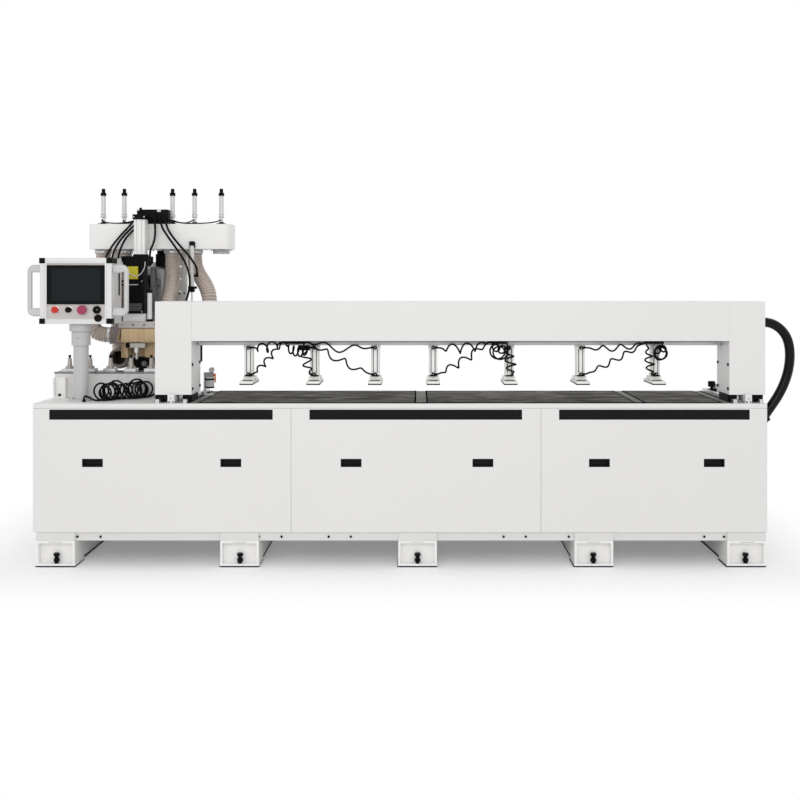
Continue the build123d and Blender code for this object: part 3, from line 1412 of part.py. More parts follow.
def curl_knots(start, start_dir, end, end_dir, turns, tall, deep, drop, spread, ramps, lift=None):
    """Points and directions along a curl that swings round a sagging line, six to a turn."""
    lead = HOSE_DIAMETER
    first = Vector(*start) + Vector(*start_dir) * lead
    last = Vector(*end) - Vector(*end_dir) * lead
    axis = last - first
    u = unit(Vector(*spread))
    v = Vector(*lift) if lift else unit(axis.cross(u))

    def place(s):
        angle = 2 * math.pi * turns * s
        swing = smooth(s / ramps[0]) * smooth((1 - s) / ramps[1])
        sag = Vector(0, 0, -4 * drop * s * (1 - s))
        return first + axis * s + sag + v * (swing * tall * math.cos(angle)) + u * (swing * deep * math.sin(angle))

    steps = round(6 * turns)
    knots = [(Vector(*start), Vector(*start_dir)), (first, Vector(*start_dir))]
    for i in range(1, steps):
        s = i / steps
        knots.append((place(s), unit(place(s + 1e-4) - place(s - 1e-4))))
    knots.append((last, Vector(*end_dir)))
    knots.append((Vector(*end), Vector(*end_dir)))
    return knots


UP = (0, 0, 1)
IN_Y = (0, 1, 0)
IN_X = (1, 0, 0)
RIGHTWARD = (1, 0, 0)
LEFTWARD = (-1, 0, 0)
SLANT = (0.6, 0.8, 0)
BACK_SLANT = (-0.6, 0.8, 0)
EVEN = (0.3, 0.3)
# Clamp, port, end point, end direction, turns, height and depth of a curl, drop, spread, ramps, lift
CURLS = (
    (0, 0, (-600, 76, 1192), RIGHTWARD, 3, 26, 20, 14, SLANT, EVEN, None),
    (0, 1, (-600, 113, 1192), RIGHTWARD, 4, 17, 13, 12, SLANT, EVEN, None),
    (1, 0, (-588, 108, 1183), UP, 5, 25, 16, 30, BACK_SLANT, (0.2, 0.2), None),
    (1, 1, (-490, 78, 1183), UP, 3, 26, 11, 0, IN_Y, (0.3, 0.4), None),
    (2, 0, (-480, 78, 1192), LEFTWARD, 2, 22, 19, 18, IN_Y, EVEN, None),
    (2, 1, (-480, 112, 1192), LEFTWARD, 3.5, 19, 15, 8, BACK_SLANT, EVEN, None),
    (3, 0, (520, 76, 1192), RIGHTWARD, 3.5, 26, 18, 18, SLANT, EVEN, None),
    (3, 1, (520, 113, 1192), RIGHTWARD, 4, 21, 15, 14, SLANT, EVEN, None),
    (4, 0, (531, 108, 1183), UP, 4, 36, 36, 36, IN_X, EVEN, UP),
    (4, 1, (600, 92, 1192), LEFTWARD, 4, 12, 28, 0, IN_X, (0.2, 0.6), None),
    (5, 0, (1370, 78, 1192), RIGHTWARD, 3.5, 16, 14, 16, IN_Y, EVEN, None),
    (5, 1, (1370, 112, 1192), RIGHTWARD, 4.5, 14, 13, 8, IN_Y, EVEN, None),
    (6, 0, (1444, 84, 1183), UP, 4, 35, 35, 38, IN_X, EVEN, UP),
    (6, 1, (1370, 98, 1192), RIGHTWARD, 4, 12, 24, 0, IN_X, (0.2, 0.6), None),
)


def clamp_hoses():
    hoses = []
    for clamp, which, end, end_dir, *shape in CURLS:
        start, start_dir = port(clamp, which)
        knots = curl_knots(start, start_dir, end, end_dir, *shape)
        hoses.append(wound_tube(f"clamp {clamp + 1} hose {which + 1}", knots, HOSE_DIAMETER))
    return hoses


def coil_place(turn):
    """A point of the deck coil: loops that stand on the deck and lean along a diagonal."""
    share = turn / COIL_TURNS
    drift = share + 0.05 * math.sin(4 * math.pi * share)
    angle = 2 * math.pi * turn + math.pi / 2
    radius = COIL_R * (1 + COIL_UNEVEN * (math.sin(2.4 * turn) + math.sin(1.1 * turn + 2)))
    x = COIL_X[0] + (COIL_X[1] - COIL_X[0]) * drift + radius * math.cos(angle)
    y = COIL_Y[0] + (COIL_Y[1] - COIL_Y[0]) * share
    z = DECK_Z + COIL_TUBE / 2 + 0.3 + radius * (1 + math.sin(angle))
    return Vector(x, y, z)


def air_hose_coil():
    """The slack air hose on the deck, from its deck fitting at the left to one at the right."""
    knots = []
    quarters = 4 * COIL_TURNS
    for i in range(2, quarters - 1):
        turn = i / 4
        knots.append((coil_place(turn), unit(coil_place(turn + 1e-3) - coil_place(turn - 1e-3))))
    left, right = (Vector(x, y, DECK_Z + SOCKET_TALL) for x, y in COIL_SOCKETS)
    up = Vector(0, 0, 1)
    lead = up * COIL_TUBE
    knots = [(left, up), (left + lead, up)] + knots + [(right + lead, up * -1), (right, up * -1)]
    return [wound_tube("deck coil", knots, COIL_TUBE)]


NODES = {
    "cross_feet": cross_feet,
    "foot_pads": foot_pads,
    "base_fasteners": base_fasteners,
    "base_frame": base_frame,
    "deck_plates": deck_plates,
    "work_table": work_table,
    "outer_covers": outer_covers,
    "bridge_guides": bridge_guides,
    "hmi_post": hmi_post,
    "tool_rack": tool_rack,
    "tool_grippers": tool_grippers,
    "tool_holders": tool_holders,
    "air_service_unit": air_service_unit,
    "air_lever": air_lever,
    "rear_bed": rear_bed,
    "x_rails": x_rails,
    "air_hose_coil": air_hose_coil,
    "cable_conduit": cable_conduit,
    "conduit_gland_base": base_gland,
    "conduit_gland_bridge": bridge_gland,
    "front_panel_left": lambda: front_panel(0),
    "front_panel_middle": lambda: front_panel(1),
    "front_panel_right": lambda: front_panel(2),
    "panel_trim_left": lambda: panel_trim(0),
    "panel_trim_middle": lambda: panel_trim(1),
    "panel_trim_right": lambda: panel_trim(2),
    "hmi_case": hmi_case,
    "hmi_frame": hmi_frame,
    "hmi_screen": hmi_screen,
    "red_button": lambda: push_button(RED_X, 18, 46, 58, 10),
    "black_button": lambda: push_button(BLACK_X, 16, 46, 58, 10),
    "emergency_stop": lambda: push_button(STOP_X, 24, 36, 56, 12),
    "bridge_beam": bridge_beam,
    "bridge_legs": bridge_legs,
    "bridge_carriages": bridge_carriages,
    "clamp_rail": clamp_rail,
    "clamp_cylinders": clamp_cylinders,
    "clamp_hoses": clamp_hoses,
    "x_carriage": x_carriage,
    "head_plate": head_plate,
    "dust_manifold": dust_manifold,
    "pneumatic_cylinders": pneumatic_cylinders,
    "head_electrics": head_electrics,
    "head_cables": head_cables,
    "side_cables": side_cables,
    "dust_hoses": dust_hoses,
    "spindle_slide": spindle_slide,
    "spindle_housing": spindle_housing,
    "dust_hood": dust_hood,
    "hood_brushes": hood_brushes,
    "spindle_rotor": spindle_rotor,
    "side_unit": side_unit,
}
for number, clamp_x in enumerate(CLAMP_X, start=1):
    NODES[f"clamp_pad_{number}"] = lambda x=clamp_x: clamp_pad(x)

# The mortising bit is left out of the horizontal motor's own node because it turns.
NODES["mortise_bit"] = mortise_bit


def main():
    os.makedirs("parts", exist_ok=True)
    to_origin = Pos(0, -DEPTH / 2, 0)
    for name, make in NODES.items():
        node = to_origin * Compound(solids_of(make()))
        export_step(node, f"parts/{name}.step")
    print(len(NODES), "nodes")


main()
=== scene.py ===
"""Looks of the CNC mortising machine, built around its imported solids.

Sizes in the tables are millimetres, with Y counted from the machine's front face, as in the part's
source. place() turns them into metres in the shared frame.
"""
import itertools
import math
import random

import bmesh
import bpy
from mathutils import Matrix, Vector


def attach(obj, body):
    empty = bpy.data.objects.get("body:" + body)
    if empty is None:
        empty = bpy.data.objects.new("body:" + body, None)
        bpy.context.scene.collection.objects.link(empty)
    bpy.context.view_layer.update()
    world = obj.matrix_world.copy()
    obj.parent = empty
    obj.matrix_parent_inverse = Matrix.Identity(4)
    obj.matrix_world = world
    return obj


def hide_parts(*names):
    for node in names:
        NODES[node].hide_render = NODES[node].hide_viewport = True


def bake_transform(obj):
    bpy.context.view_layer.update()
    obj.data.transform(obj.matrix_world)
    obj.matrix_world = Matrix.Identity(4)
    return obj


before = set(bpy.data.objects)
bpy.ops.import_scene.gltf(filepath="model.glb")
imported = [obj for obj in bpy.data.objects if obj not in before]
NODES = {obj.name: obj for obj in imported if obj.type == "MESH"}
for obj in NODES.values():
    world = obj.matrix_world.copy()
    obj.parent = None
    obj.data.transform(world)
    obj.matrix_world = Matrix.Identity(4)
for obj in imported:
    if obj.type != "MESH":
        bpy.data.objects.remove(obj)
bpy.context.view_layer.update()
HALF_DEPTH = 625.0
MM = 0.001
RIGHTWARD = (1, 0, 0)
LEFTWARD = (-1, 0, 0)
BACK = (0, 1, 0)
FRONT = (0, -1, 0)
UP = (0, 0, 1)
DOWN = (0, 0, -1)


def place(point):
    """A point in millimetres from the front face, as metres in the shared frame."""
    x, y, z = point
    return Vector((x * MM, (y - HALF_DEPTH) * MM, z * MM))


def add_object(name, data):
    """A new object in the scene."""
    obj = bpy.data.objects.new(name, data)
    bpy.context.scene.collection.objects.link(obj)
    return obj


def feed(tree, socket, value):
    """Gives a socket a constant, or links it to another node's output."""
    if isinstance(value, bpy.types.NodeSocket):
        tree.links.new(value, socket)
    else:
        socket.default_value = value


def add_node(tree, kind, inputs, out=0, **settings):
    """One output of a new shader node with its inputs and settings."""
    node = tree.nodes.new(f"ShaderNode{kind}")
    for name, value in settings.items():
        setattr(node, name, value)
    for socket, value in inputs.items():
        feed(tree, node.inputs[socket], value)
    return node.outputs[out] if node.outputs else None


# Materials

EVENLY = (1, 1, 1)


class Shade:
    """A node material on one shader, built from object coordinates in metres."""

    def __init__(self, name, colour, roughness, metallic=0.0):
        self.material = bpy.data.materials.new(name)
        self.material.use_nodes = True
        self.tree = self.material.node_tree
        self.sockets = self.tree.nodes["Principled BSDF"].inputs
        self.colour = (*colour, 1.0)
        self.roughness = roughness
        self.set("Metallic", metallic).set("Base Color", self.colour).set("Roughness", roughness)
        self.coords = self.node("TexCoord", {}, "Object")
        self.normal = None

    def set(self, socket, value):
        """Gives a socket of the shader a constant or another node's output."""
        feed(self.tree, self.sockets[socket], value)
        return self

    def node(self, kind, inputs, out=0, **settings):
        return add_node(self.tree, kind, inputs, out, **settings)

    def noise(self, scale, detail=3.0, stretch=EVENLY):
        spot = self.node("Mapping", {"Vector": self.coords, "Scale": stretch})
        return self.node("TexNoise", {"Vector": spot, "Scale": scale, "Detail": detail})

    def math(self, operation, first, second):
        return self.node("Math", {0: first, 1: second}, operation=operation)

    def axis(self, letter):
        return self.node("SeparateXYZ", {0: self.coords}, letter)

    def spread(self, value, low, high, edges=(0.25, 0.75)):
        """value between the edges becomes low to high."""
        ends = {"From Min": edges[0], "From Max": edges[1], "To Min": low, "To Max": high}
        return self.node("MapRange", {"Value": value, **ends})

    def tint(self, factor, colour):
        """Mixes another colour over the present one by a factor."""
        base = self.sockets["Base Color"]
        present = base.links[0].from_socket if base.is_linked else self.colour
        inputs = {0: factor, 6: present, 7: (*colour, 1.0)}
        return self.set("Base Color", self.node("Mix", inputs, 2, data_type="RGBA"))

    def mottle(self, scale, amount, darker):
        """Slow cloudy change of the colour."""
        factor = self.spread(self.noise(scale), 0.0, amount)
        return self.tint(factor, [c * darker for c in self.colour[:3]])

    def vary_roughness(self, scale, amount, stretch=EVENLY):
        low = max(0.02, self.roughness - amount)
        high = min(1.0, self.roughness + amount)
        return self.set("Roughness", self.spread(self.noise(scale, 4.0, stretch), low, high))

    def soften(self, radius):
        """Small rounded edges in the shading."""
        self.normal = self.node("Bevel", {"Radius": radius}, samples=4)
        return self.set("Normal", self.normal)

    def bump(self, height, strength, distance):
        inputs = {"Height": height, "Strength": strength, "Distance": distance}
        if self.normal is not None:
            inputs["Normal"] = self.normal
        self.normal = self.node("Bump", inputs)
        return self.set("Normal", self.normal)

    def grain(self, scale, strength, distance=0.0004, stretch=EVENLY):
        return self.bump(self.noise(scale, 2.0, stretch), strength, distance)


def powder_coat(name, colour, roughness=0.42, gleam=0.5):
    shade = Shade(name, colour, roughness).mottle(1.3, 0.5, 0.96)
    shade.vary_roughness(6.0, 0.06).soften(0.002)
    return shade.set("Specular IOR Level", gleam).grain(700.0, 0.08).material


def moulded(name, colour, roughness=0.5, gleam=0.5):
    shade = Shade(name, colour, roughness).mottle(9.0, 0.6, 0.8)
    shade.vary_roughness(40.0, 0.08).soften(0.0012)
    return shade.set("Specular IOR Level", gleam).grain(1500.0, 0.12).material


def brushed(name, colour, stretch, roughness=0.32):
    shade = Shade(name, colour, roughness, 1.0).mottle(5.0, 0.5, 0.88)
    shade.vary_roughness(60.0, 0.1, stretch).soften(0.0012)
    return shade.grain(240.0, 0.1, 0.0003, stretch).material


def anodised(name, colour, roughness=0.36, metallic=0.75, radius=0.0012):
    shade = Shade(name, colour, roughness, metallic).mottle(4.0, 0.5, 0.92)
    shade.vary_roughness(25.0, 0.06)
    if radius:
        shade.soften(radius).grain(1800.0, 0.06)
    return shade.material


def rubber_hose(name, colour, roughness=0.45, gleam=0.3):
    shade = Shade(name, colour, roughness).mottle(30.0, 0.7, 0.6)
    shade.vary_roughness(120.0, 0.12)
    return shade.set("Specular IOR Level", gleam).grain(900.0, 0.15).material


GROOVE_PITCH = 0.030
GROOVE_SHARE = 0.16


def table_board():
    """Dark board with milled grooves along its length, painted shade in the grooves, worn patches and dark
    streaks.
    """
    shade = Shade("table_board", (0.2, 0.196, 0.185), 0.7).set("Specular IOR Level", 0.0)
    shade.mottle(14.0, 0.6, 0.75).vary_roughness(30.0, 0.12).soften(0.0008)
    step = shade.math("FRACT", shade.math("DIVIDE", shade.axis("Y"), GROOVE_PITCH), 0.0)
    groove = shade.math("LESS_THAN", step, GROOVE_SHARE)
    # The grooves are tinted near black: painted shade in the grooves.
    shade.tint(groove, (0.02, 0.02, 0.02))
    worn = shade.spread(shade.noise(24.0, 3.0, (0.28, 1, 1)), 0.0, 0.5, (0.44, 0.66))
    shade.tint(worn, (0.4, 0.39, 0.365))
    streak = shade.spread(shade.noise(20.0, 2.0, (0.24, 1, 1)), 0.0, 0.7, (0.46, 0.62))
    shade.tint(streak, (0.06, 0.058, 0.055))
    flat = shade.math("SUBTRACT", 1.0, groove)
    return shade.bump(flat, 0.5, 0.002).grain(400.0, 0.15).material


def screen_glass():
    """A dark touch screen: black border and a faintly lighter lit area."""
    shade = Shade("screen_glass", (0.004, 0.0045, 0.005), 0.16)
    shade.set("Specular IOR Level", 0.1)
    inside = []
    for letter, low, high in (("X", -1.842, -1.583), ("Z", 1.415, 1.589)):
        over = shade.math("GREATER_THAN", shade.axis(letter), low)
        under = shade.math("LESS_THAN", shade.axis(letter), high)
        inside.append(shade.math("MULTIPLY", over, under))
    shade.tint(shade.math("MULTIPLY", inside[0], inside[1]), (0.0105, 0.0145, 0.0175))
    return shade.vary_roughness(20.0, 0.04).material


def bristle():
    """Tan bristles with darker and lighter streaks along them."""
    shade = Shade("bristle", (0.70, 0.51, 0.28), 0.6)
    shade.tint(shade.spread(shade.noise(220.0, 3.0, (1, 1, 0.05)), 0.0, 0.8), (0.5, 0.34, 0.18))
    shade.tint(shade.spread(shade.noise(60.0, 2.0, (1, 1, 0.05)), 0.0, 0.5), (0.82, 0.66, 0.42))
    return shade.set("Sheen Weight", 0.2).grain(600.0, 0.3, 0.0004, (1, 1, 0.05)).material


def hose_wall():
    """Milky film of a dust hose between its wires."""
    shade = Shade("hose_wall", (0.62, 0.555, 0.51), 0.4)
    shade.tint(shade.spread(shade.noise(18.0, 4.0), 0.0, 0.5), (0.48, 0.41, 0.365))
    shade.set("Transmission Weight", 0.12)
    return shade.grain(300.0, 0.2).material


# Colour, roughness and gleam
POWDER_COATS = {
    "machine_white": [(0.80, 0.795, 0.785)],
    "bright_white": [(0.91, 0.905, 0.89)],
    "sill_white": [(0.75, 0.745, 0.735)],
    "post_white": [(0.53, 0.53, 0.53)],
    "case_grey": [(0.57, 0.535, 0.52)],
    "black_metal": [(0.0025, 0.0025, 0.0028), 0.4, 0.08],
}
# Colour, roughness, share of metal and radius of the edges
ANODISED = {
    "frame_grey": [(0.72, 0.715, 0.71), 0.4, 0.4],
    "handle_grey": [(0.58, 0.58, 0.58), 0.45, 0.2, 0],
    "plate_light": [(0.9, 0.905, 0.875), 0.45, 0.25],
    "hood_grey": [(0.56, 0.53, 0.5), 0.42, 0.3],
    "plate_grey": [(0.6, 0.61, 0.62), 0.4, 0.5],
    "profile": [(0.78, 0.79, 0.8), 0.34, 0.55],
    "barrel": [(0.66, 0.66, 0.655), 0.45, 0.2, 0],
    "tube_white": [(0.82, 0.82, 0.805), 0.45, 0.2],
}
# Colour, stretch of the brushing and roughness
BRUSHED = {
    "tool_steel": [(0.4, 0.37, 0.34), (1, 1, 0.1), 0.35],
    "steel": [(0.62, 0.62, 0.63), (0.05, 1, 1)],
    "bright_steel": [(0.72, 0.72, 0.73), (1, 1, 0.05), 0.22],
    "dark_steel": [(0.2, 0.2, 0.21), (0.05, 1, 1), 0.4],
}
# Colour, roughness and gleam
MOULDED = {
    "hose_wire": [(0.32, 0.165, 0.1), 0.4],
    # The hose wall's film made darker: painted shade inside the bore.
    "hose_inside": [(0.12, 0.1, 0.085), 0.6, 0.1],
    "hose_grey": [(0.24, 0.2, 0.195)],
    "black_plastic": [(0.003, 0.003, 0.0032), 0.5, 0.09],
    # Black for gaps: painted shade in the table's joints and under its front edge.
    "black_gap": [(0.003, 0.003, 0.003), 0.5, 0.0],
    "black_strip": [(0.0055, 0.006, 0.006), 0.42, 0.12],
    "board_strip": [(0.28, 0.277, 0.265), 0.6, 0.0],
    "light_plastic": [(0.74, 0.74, 0.73), 0.42],
    "tube_grey": [(0.5, 0.5, 0.49), 0.4],
    "grey_plastic": [(0.36, 0.36, 0.36), 0.45],
    "red_cap": [(0.58, 0.035, 0.02), 0.35, 0.3],
    "magenta_cap": [(0.38, 0.03, 0.11), 0.34],
    "orange_cap": [(0.85, 0.21, 0.02), 0.35],
    "yellow_plate": [(0.56, 0.48, 0.03), 0.45, 0.3],
}
# Colour, roughness and gleam
RUBBER = {
    "black_rubber": [(0.003, 0.003, 0.0033), 0.45, 0.1],
    "conduit_rubber": [(0.003, 0.003, 0.0033), 0.2, 0.17],
}


def make_palette():
    single = (table_board, screen_glass, bristle, hose_wall)
    palette = {maker.__name__: maker() for maker in single}
    makers = (powder_coat, anodised, brushed, moulded, rubber_hose)
    for maker, table in zip(makers, (POWDER_COATS, ANODISED, BRUSHED, MOULDED, RUBBER)):
        for name, values in table.items():
            palette[name] = maker(name, *values)
    return palette


PALETTE = make_palette()


# CAD nodes

FAR = 9999.0


def between(y0, y1, z0=-FAR, z1=FAR):
    """A box over the whole length: low and high X, Y and Z in millimetres."""
    return (-FAR, FAR, y0, y1, z0, z1)


def above(z):
    return between(-FAR, FAR, z)


def below(z):
    return between(-FAR, FAR, -FAR, z)


def within(spot, box):
    x, y, z = spot
    x0, x1, y0, y1, z0, z1 = box
    return x0 <= x <= x1 and y0 <= y <= y1 and z0 <= z <= z1


def dress(node, base, rules=()):
    """Gives a CAD node its materials: a base one, and others for the faces with centres in a box."""
    mesh = NODES[node].data
    mesh.materials.clear()
    names = list(dict.fromkeys([base, *(name for name, _ in rules)]))
    for name in names:
        mesh.materials.append(PALETTE[name])
    for face in mesh.polygons:
        x, y, z = face.center
        spot = (x / MM, y / MM + HALF_DEPTH, z / MM)
        chosen = base
        for name, box in rules:
            if within(spot, box):
                chosen = name
        face.material_index = names.index(chosen)


TABLE_STRIPS = ((-1099.0, -1045.0), (112.0, 176.0), (1287.0, 1343.0), (1750.0, 1804.0))
CLAMP_X = (-801.0, -440.0, -107.0, 209.0, 627.0, 1017.0, 1428.0)
DRIVE_X = (-1188.0, 1885.0)
FOOT_X = (-1800.0, -822.0, 124.0, 1061.0, 1872.0)


def dress_base():
    dress("cross_feet", "bright_white")
    dress("base_frame", "sill_white")
    for node in ("outer_covers", "rear_bed"):
        dress(node, "machine_white")
    dress("foot_pads", "black_rubber")
    dress("base_fasteners", "black_metal")
    dress("deck_plates", "machine_white", [
        ("black_plastic", (1820, 1880, 530, 590, 870.1, 940)),
        ("black_plastic", (-1690, -1300, 70, 290, 870.1, 883)),
    ])
    strips = [("board_strip", (a - 1, b + 1, 0, 700, 840, 880)) for a, b in TABLE_STRIPS]
    dress("work_table", "table_board", strips)
    dress("bridge_guides", "steel")
    dress("hmi_post", "post_white", [("steel", (-1790, -1640, 90, 210, 882.5, 890))])
    dress("tool_rack", "bright_white", [
        ("sill_white", (-1766, -1260, 290, 300.4, 860, 999)),
        ("dark_steel", above(1004.5)),
    ])
    dress("tool_grippers", "light_plastic", [("steel", between(310, 318.2))])
    dress("tool_holders", "tool_steel", [("dark_steel", below(991)), ("black_plastic", above(1087.5))])
    dress("air_service_unit", "light_plastic", [
        ("black_plastic", (-1092, -1040, 394, 446, 910.9, 920.1)),
        ("black_plastic", (-1092, -1040, 394, 446, 956.9, 966.1)),
        ("grey_plastic", above(974.1)),
    ])
    dress("air_lever", "orange_cap")
    dress("x_rails", "steel")
    for name in ("left", "middle", "right"):
        dress(f"front_panel_{name}", "machine_white")
        dress(f"panel_trim_{name}", "black_strip")
    for node in ("conduit_gland_base", "conduit_gland_bridge"):
        dress(node, "black_plastic")


def dress_panel():
    dress("hmi_case", "case_grey")
    dress("hmi_frame", "frame_grey", [
        ("black_plastic", (-1906, -1877, 50, 59.95, 1280, 1650)),
        ("black_plastic", (-1548, -1519, 50, 59.95, 1280, 1650)),
        ("black_plastic", (-1625, -1565, 50, 63.9, 1300, 1390)),
        ("post_white", (-1780, -1650, 80, 220, 1240, 1290.5)),
        ("handle_grey", (-FAR, -1907.5, 70, 102, 1320, 1620)),
        ("handle_grey", (-1517.5, FAR, 70, 102, 1320, 1620)),
    ])
    dress("hmi_screen", "screen_glass")
    dress("red_button", "red_cap", [("steel", between(58.5, FAR))])
    dress("black_button", "black_plastic")
    dress("emergency_stop", "magenta_cap", [("steel", between(56.5, FAR))])


def dress_bridge():
    dress("bridge_beam", "machine_white")
    dress("bridge_legs", "machine_white", [
        ("black_metal", (-1083.9, -1077, 30, 250, 930, 1090)),
        ("black_metal", (1783, 1789.9, 30, 250, 930, 1090)),
    ])
    nuts = [("plate_grey", (x - 23, x + 23, 33, 101, 877, 915)) for x in DRIVE_X]
    dress("bridge_carriages", "black_plastic", nuts)
    dress("clamp_rail", "plate_grey", [
        ("black_plastic", between(60, 121)),
        ("black_plastic", (-536, -469, 197, 241, 1139, 1169.9)),
    ])
    looks = [("black_plastic", between(-FAR, 159.8))]
    # The faces in each cylinder's front grooves are grey: painted shade in the grooves.
    for x in CLAMP_X:
        for side in (x - 14.5, x + 7.5):
            looks.append(("grey_plastic", (side, side + 7, 162.2, 168.5, 1020, 1150)))
    dress("clamp_cylinders", "plate_light", looks)
    for number in range(1, 8):
        dress(f"clamp_pad_{number}", "plate_light", [
            ("dark_steel", between(97, 160.5, 972, 978)),
            ("bright_steel", above(980.5)),
        ])


def dress_head():
    dress("x_carriage", "plate_grey", [
        ("black_metal", (-1345, -1265, 1000, 1090, 733, 945)),
        ("steel", (-1692, -1368, 880, 1245, 733, 753)),
    ])
    dress("head_plate", "plate_light", [
        ("hose_grey", (-1730, -1610, 665, 855, 990, 1125)),
        ("steel", (-1612, -1438, 840, 859.5, 1000, 1610)),
        ("steel", (-1260, -1230, 780, 799.5, 1130, 1400)),
        ("machine_white", (-1700, -1360, 895, 1100, 740, 1610)),
    ])
    # Its lower faces, below 1715.5 mm, are grey: painted shade under the white manifold.
    dress("dust_manifold", "bright_white", [("post_white", below(1715.5))])
    dress("pneumatic_cylinders", "barrel", [
        ("black_plastic", above(2040.5)),
        ("black_plastic", between(700, 800, 1860, 1873.5)),
        ("machine_white", between(700, 800, 1873.5, 1926)),
        ("black_plastic", (-1260, -1180, 600, 660, 1400, 1485)),
        ("black_plastic", (-1260, -1180, 600, 660, 1721, 1770)),
        ("black_plastic", (-1203.5, -1178, 620, 645, 1545, 1576)),
    ])
    dress("head_electrics", "black_plastic")
    dress("spindle_slide", "plate_grey", [("black_metal", (-1575, -1475, 610, 789, 1340, 1565))])
    dress("spindle_housing", "black_metal", [
        ("profile", (-1600, -1450, 505, 645, 1239, 1333.5)),
        ("tube_white", (-1540, -1464, 526, 601, 1680, 1884)),
        ("yellow_plate", (-1564, -1500, 499, 505.8, 1534, 1611)),
        ("dark_steel", (-1470, -1438, 636, 792, 1340, 1612)),
    ])
    dress("dust_hood", "hood_grey", [
        ("black_plastic", (-1456, -1420, 502, 538, 1288.5, 1303)),
        ("black_plastic", (-1456, -1420, 502, 538, 1454, 1472)),
        ("machine_white", (-1456, -1420, 502, 538, 1303, 1454)),
        ("hose_grey", (-1684, -1609, 550, 670, 1140, 1287.5)),
        ("machine_white", (-1415, -1309, 545, 655, 1288.5, 1320)),
    ])
    dress("spindle_rotor", "dark_steel", [
        ("bright_steel", between(0, FAR, 1104, 1141)),
        ("steel", below(1104)),
    ])
    dress("mortise_bit", "dark_steel")
    dress("side_unit", "profile", [
        ("black_metal", (-1290, -1200, 740.5, 800, 1190, 1360)),
        ("black_metal", (-1186, -1156, 655, 685, 1040, 1239.5)),
    ])


# Cords and hoses


def spline_object(name, points, radius, resolution=6):
    """A smooth curve with these control points in metres; radius 0 leaves it a bare line."""
    curve = bpy.data.curves.new(name, "CURVE")
    curve.dimensions = "3D"
    curve.resolution_u = resolution
    curve.bevel_depth = radius
    curve.bevel_resolution = 4
    curve.use_fill_caps = True
    spline = curve.splines.new("NURBS")
    spline.points.add(len(points) - 1)
    for knot, point in zip(spline.points, points):
        knot.co = (*point, 1.0)
    spline.order_u = 3
    spline.use_endpoint_u = True
    return add_object(name, curve)


def taken_mesh(obj):
    """The mesh that a curve object shows; the object itself is removed."""
    bpy.context.view_layer.update()
    graph = bpy.context.evaluated_depsgraph_get()
    mesh = bpy.data.meshes.new_from_object(obj.evaluated_get(graph))
    bpy.data.objects.remove(obj)
    return mesh


def line_points(points, resolution=6):
    """The points that a smooth curve with these control points runs through."""
    mesh = taken_mesh(spline_object("line_reader", points, 0.0, resolution))
    found = [v.co.copy() for v in mesh.vertices]
    bpy.data.meshes.remove(mesh)
    return found


def run_length(points):
    return sum((b - a).length for a, b in zip(points, points[1:]))


def mesh_from_curve(obj):
    """Turns a curve object into a mesh object of the same name."""
    name = obj.name
    mesh = taken_mesh(obj)
    mesh.name = name
    for face in mesh.polygons:
        face.use_smooth = True
    return add_object(name, mesh)


def paint(obj, *materials):
    for material in materials:
        obj.data.materials.append(PALETTE[material])
    return obj


def make_cord(name, route, diameter, material, stiffness, lay, node, body, bend=None):
    """A free cord: a curve on one body, or, when a bend is given, a mesh left in the shared frame."""
    points = [place(p) for p in route]
    path = line_points(points)
    obj = spline_object(name, points, diameter * MM / 2)
    if bend:
        obj = paint(mesh_from_curve(obj), material)
        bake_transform(obj)
    else:
        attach(paint(obj, material), body)
    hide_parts(node)


RIGHT = 1981.0
CONDUIT_SLOPE = math.radians(55.4)
ELBOW_LONG = 45.0


def elbow_point(reach):
    """A point on the axis of the slanting base gland, by its distance from the gland's middle."""
    return (RIGHT + 14 + reach * math.cos(CONDUIT_SLOPE), 150, 752 + reach * math.sin(CONDUIT_SLOPE))


CONDUIT_ROUTE = [
    (RIGHT + 18, 150, 1298), (2040, 150, 1298), (2092, 150, 1275), (2132, 150, 1233), (2153, 150, 1180),
    (2159, 150, 1110), (2150, 150, 1036), (2128, 150, 964), (2092, 150, 892), elbow_point(ELBOW_LONG + 52),
    elbow_point(ELBOW_LONG),
]
CABLE_SKIN = 12.5
TUBE_SKIN = 7.5
HEAD_CABLES = {
    "left_cable_1": [
        (-1546, 640, 1897), (-1564, 627, 1878), (-1598, 618, 1836), (-1644, 614, 1786), (-1690, 610, 1726),
        (-1722, 606, 1668), (-1732, 600, 1608), (-1716, 594, 1554), (-1674, 588, 1516), (-1628, 584, 1500),
        (-1581, 584, 1500),
    ],
    "left_cable_2": [
        (-1526, 640, 1884), (-1545, 623, 1865), (-1576, 612, 1834), (-1612, 606, 1796), (-1650, 600, 1744),
        (-1676, 594, 1686), (-1684, 588, 1626), (-1670, 580, 1572), (-1640, 572, 1536), (-1612, 566, 1520),
        (-1581, 566, 1520),
    ],
    "left_cable_3": [
        (-1506, 640, 1873), (-1526, 623, 1855), (-1560, 608, 1824), (-1596, 600, 1786), (-1626, 592, 1728),
        (-1642, 584, 1668), (-1640, 574, 1612), (-1622, 564, 1580), (-1600, 556, 1572), (-1575, 556, 1572),
    ],
    "centre_cable": [
        (-1440, 636, 1904), (-1434, 616, 1872), (-1428, 608, 1816), (-1434, 606, 1756), (-1456, 590, 1704),
        (-1456, 590, 1669),
    ],
}
FRONT_TUBE = [
    (-1588, 484, 1636), (-1588, 484, 1612), (-1568, 481, 1586), (-1538, 478, 1562), (-1508, 477, 1549),
    (-1481, 478, 1560), (-1462, 481, 1590), (-1455, 484, 1614), (-1455, 484, 1637),
]
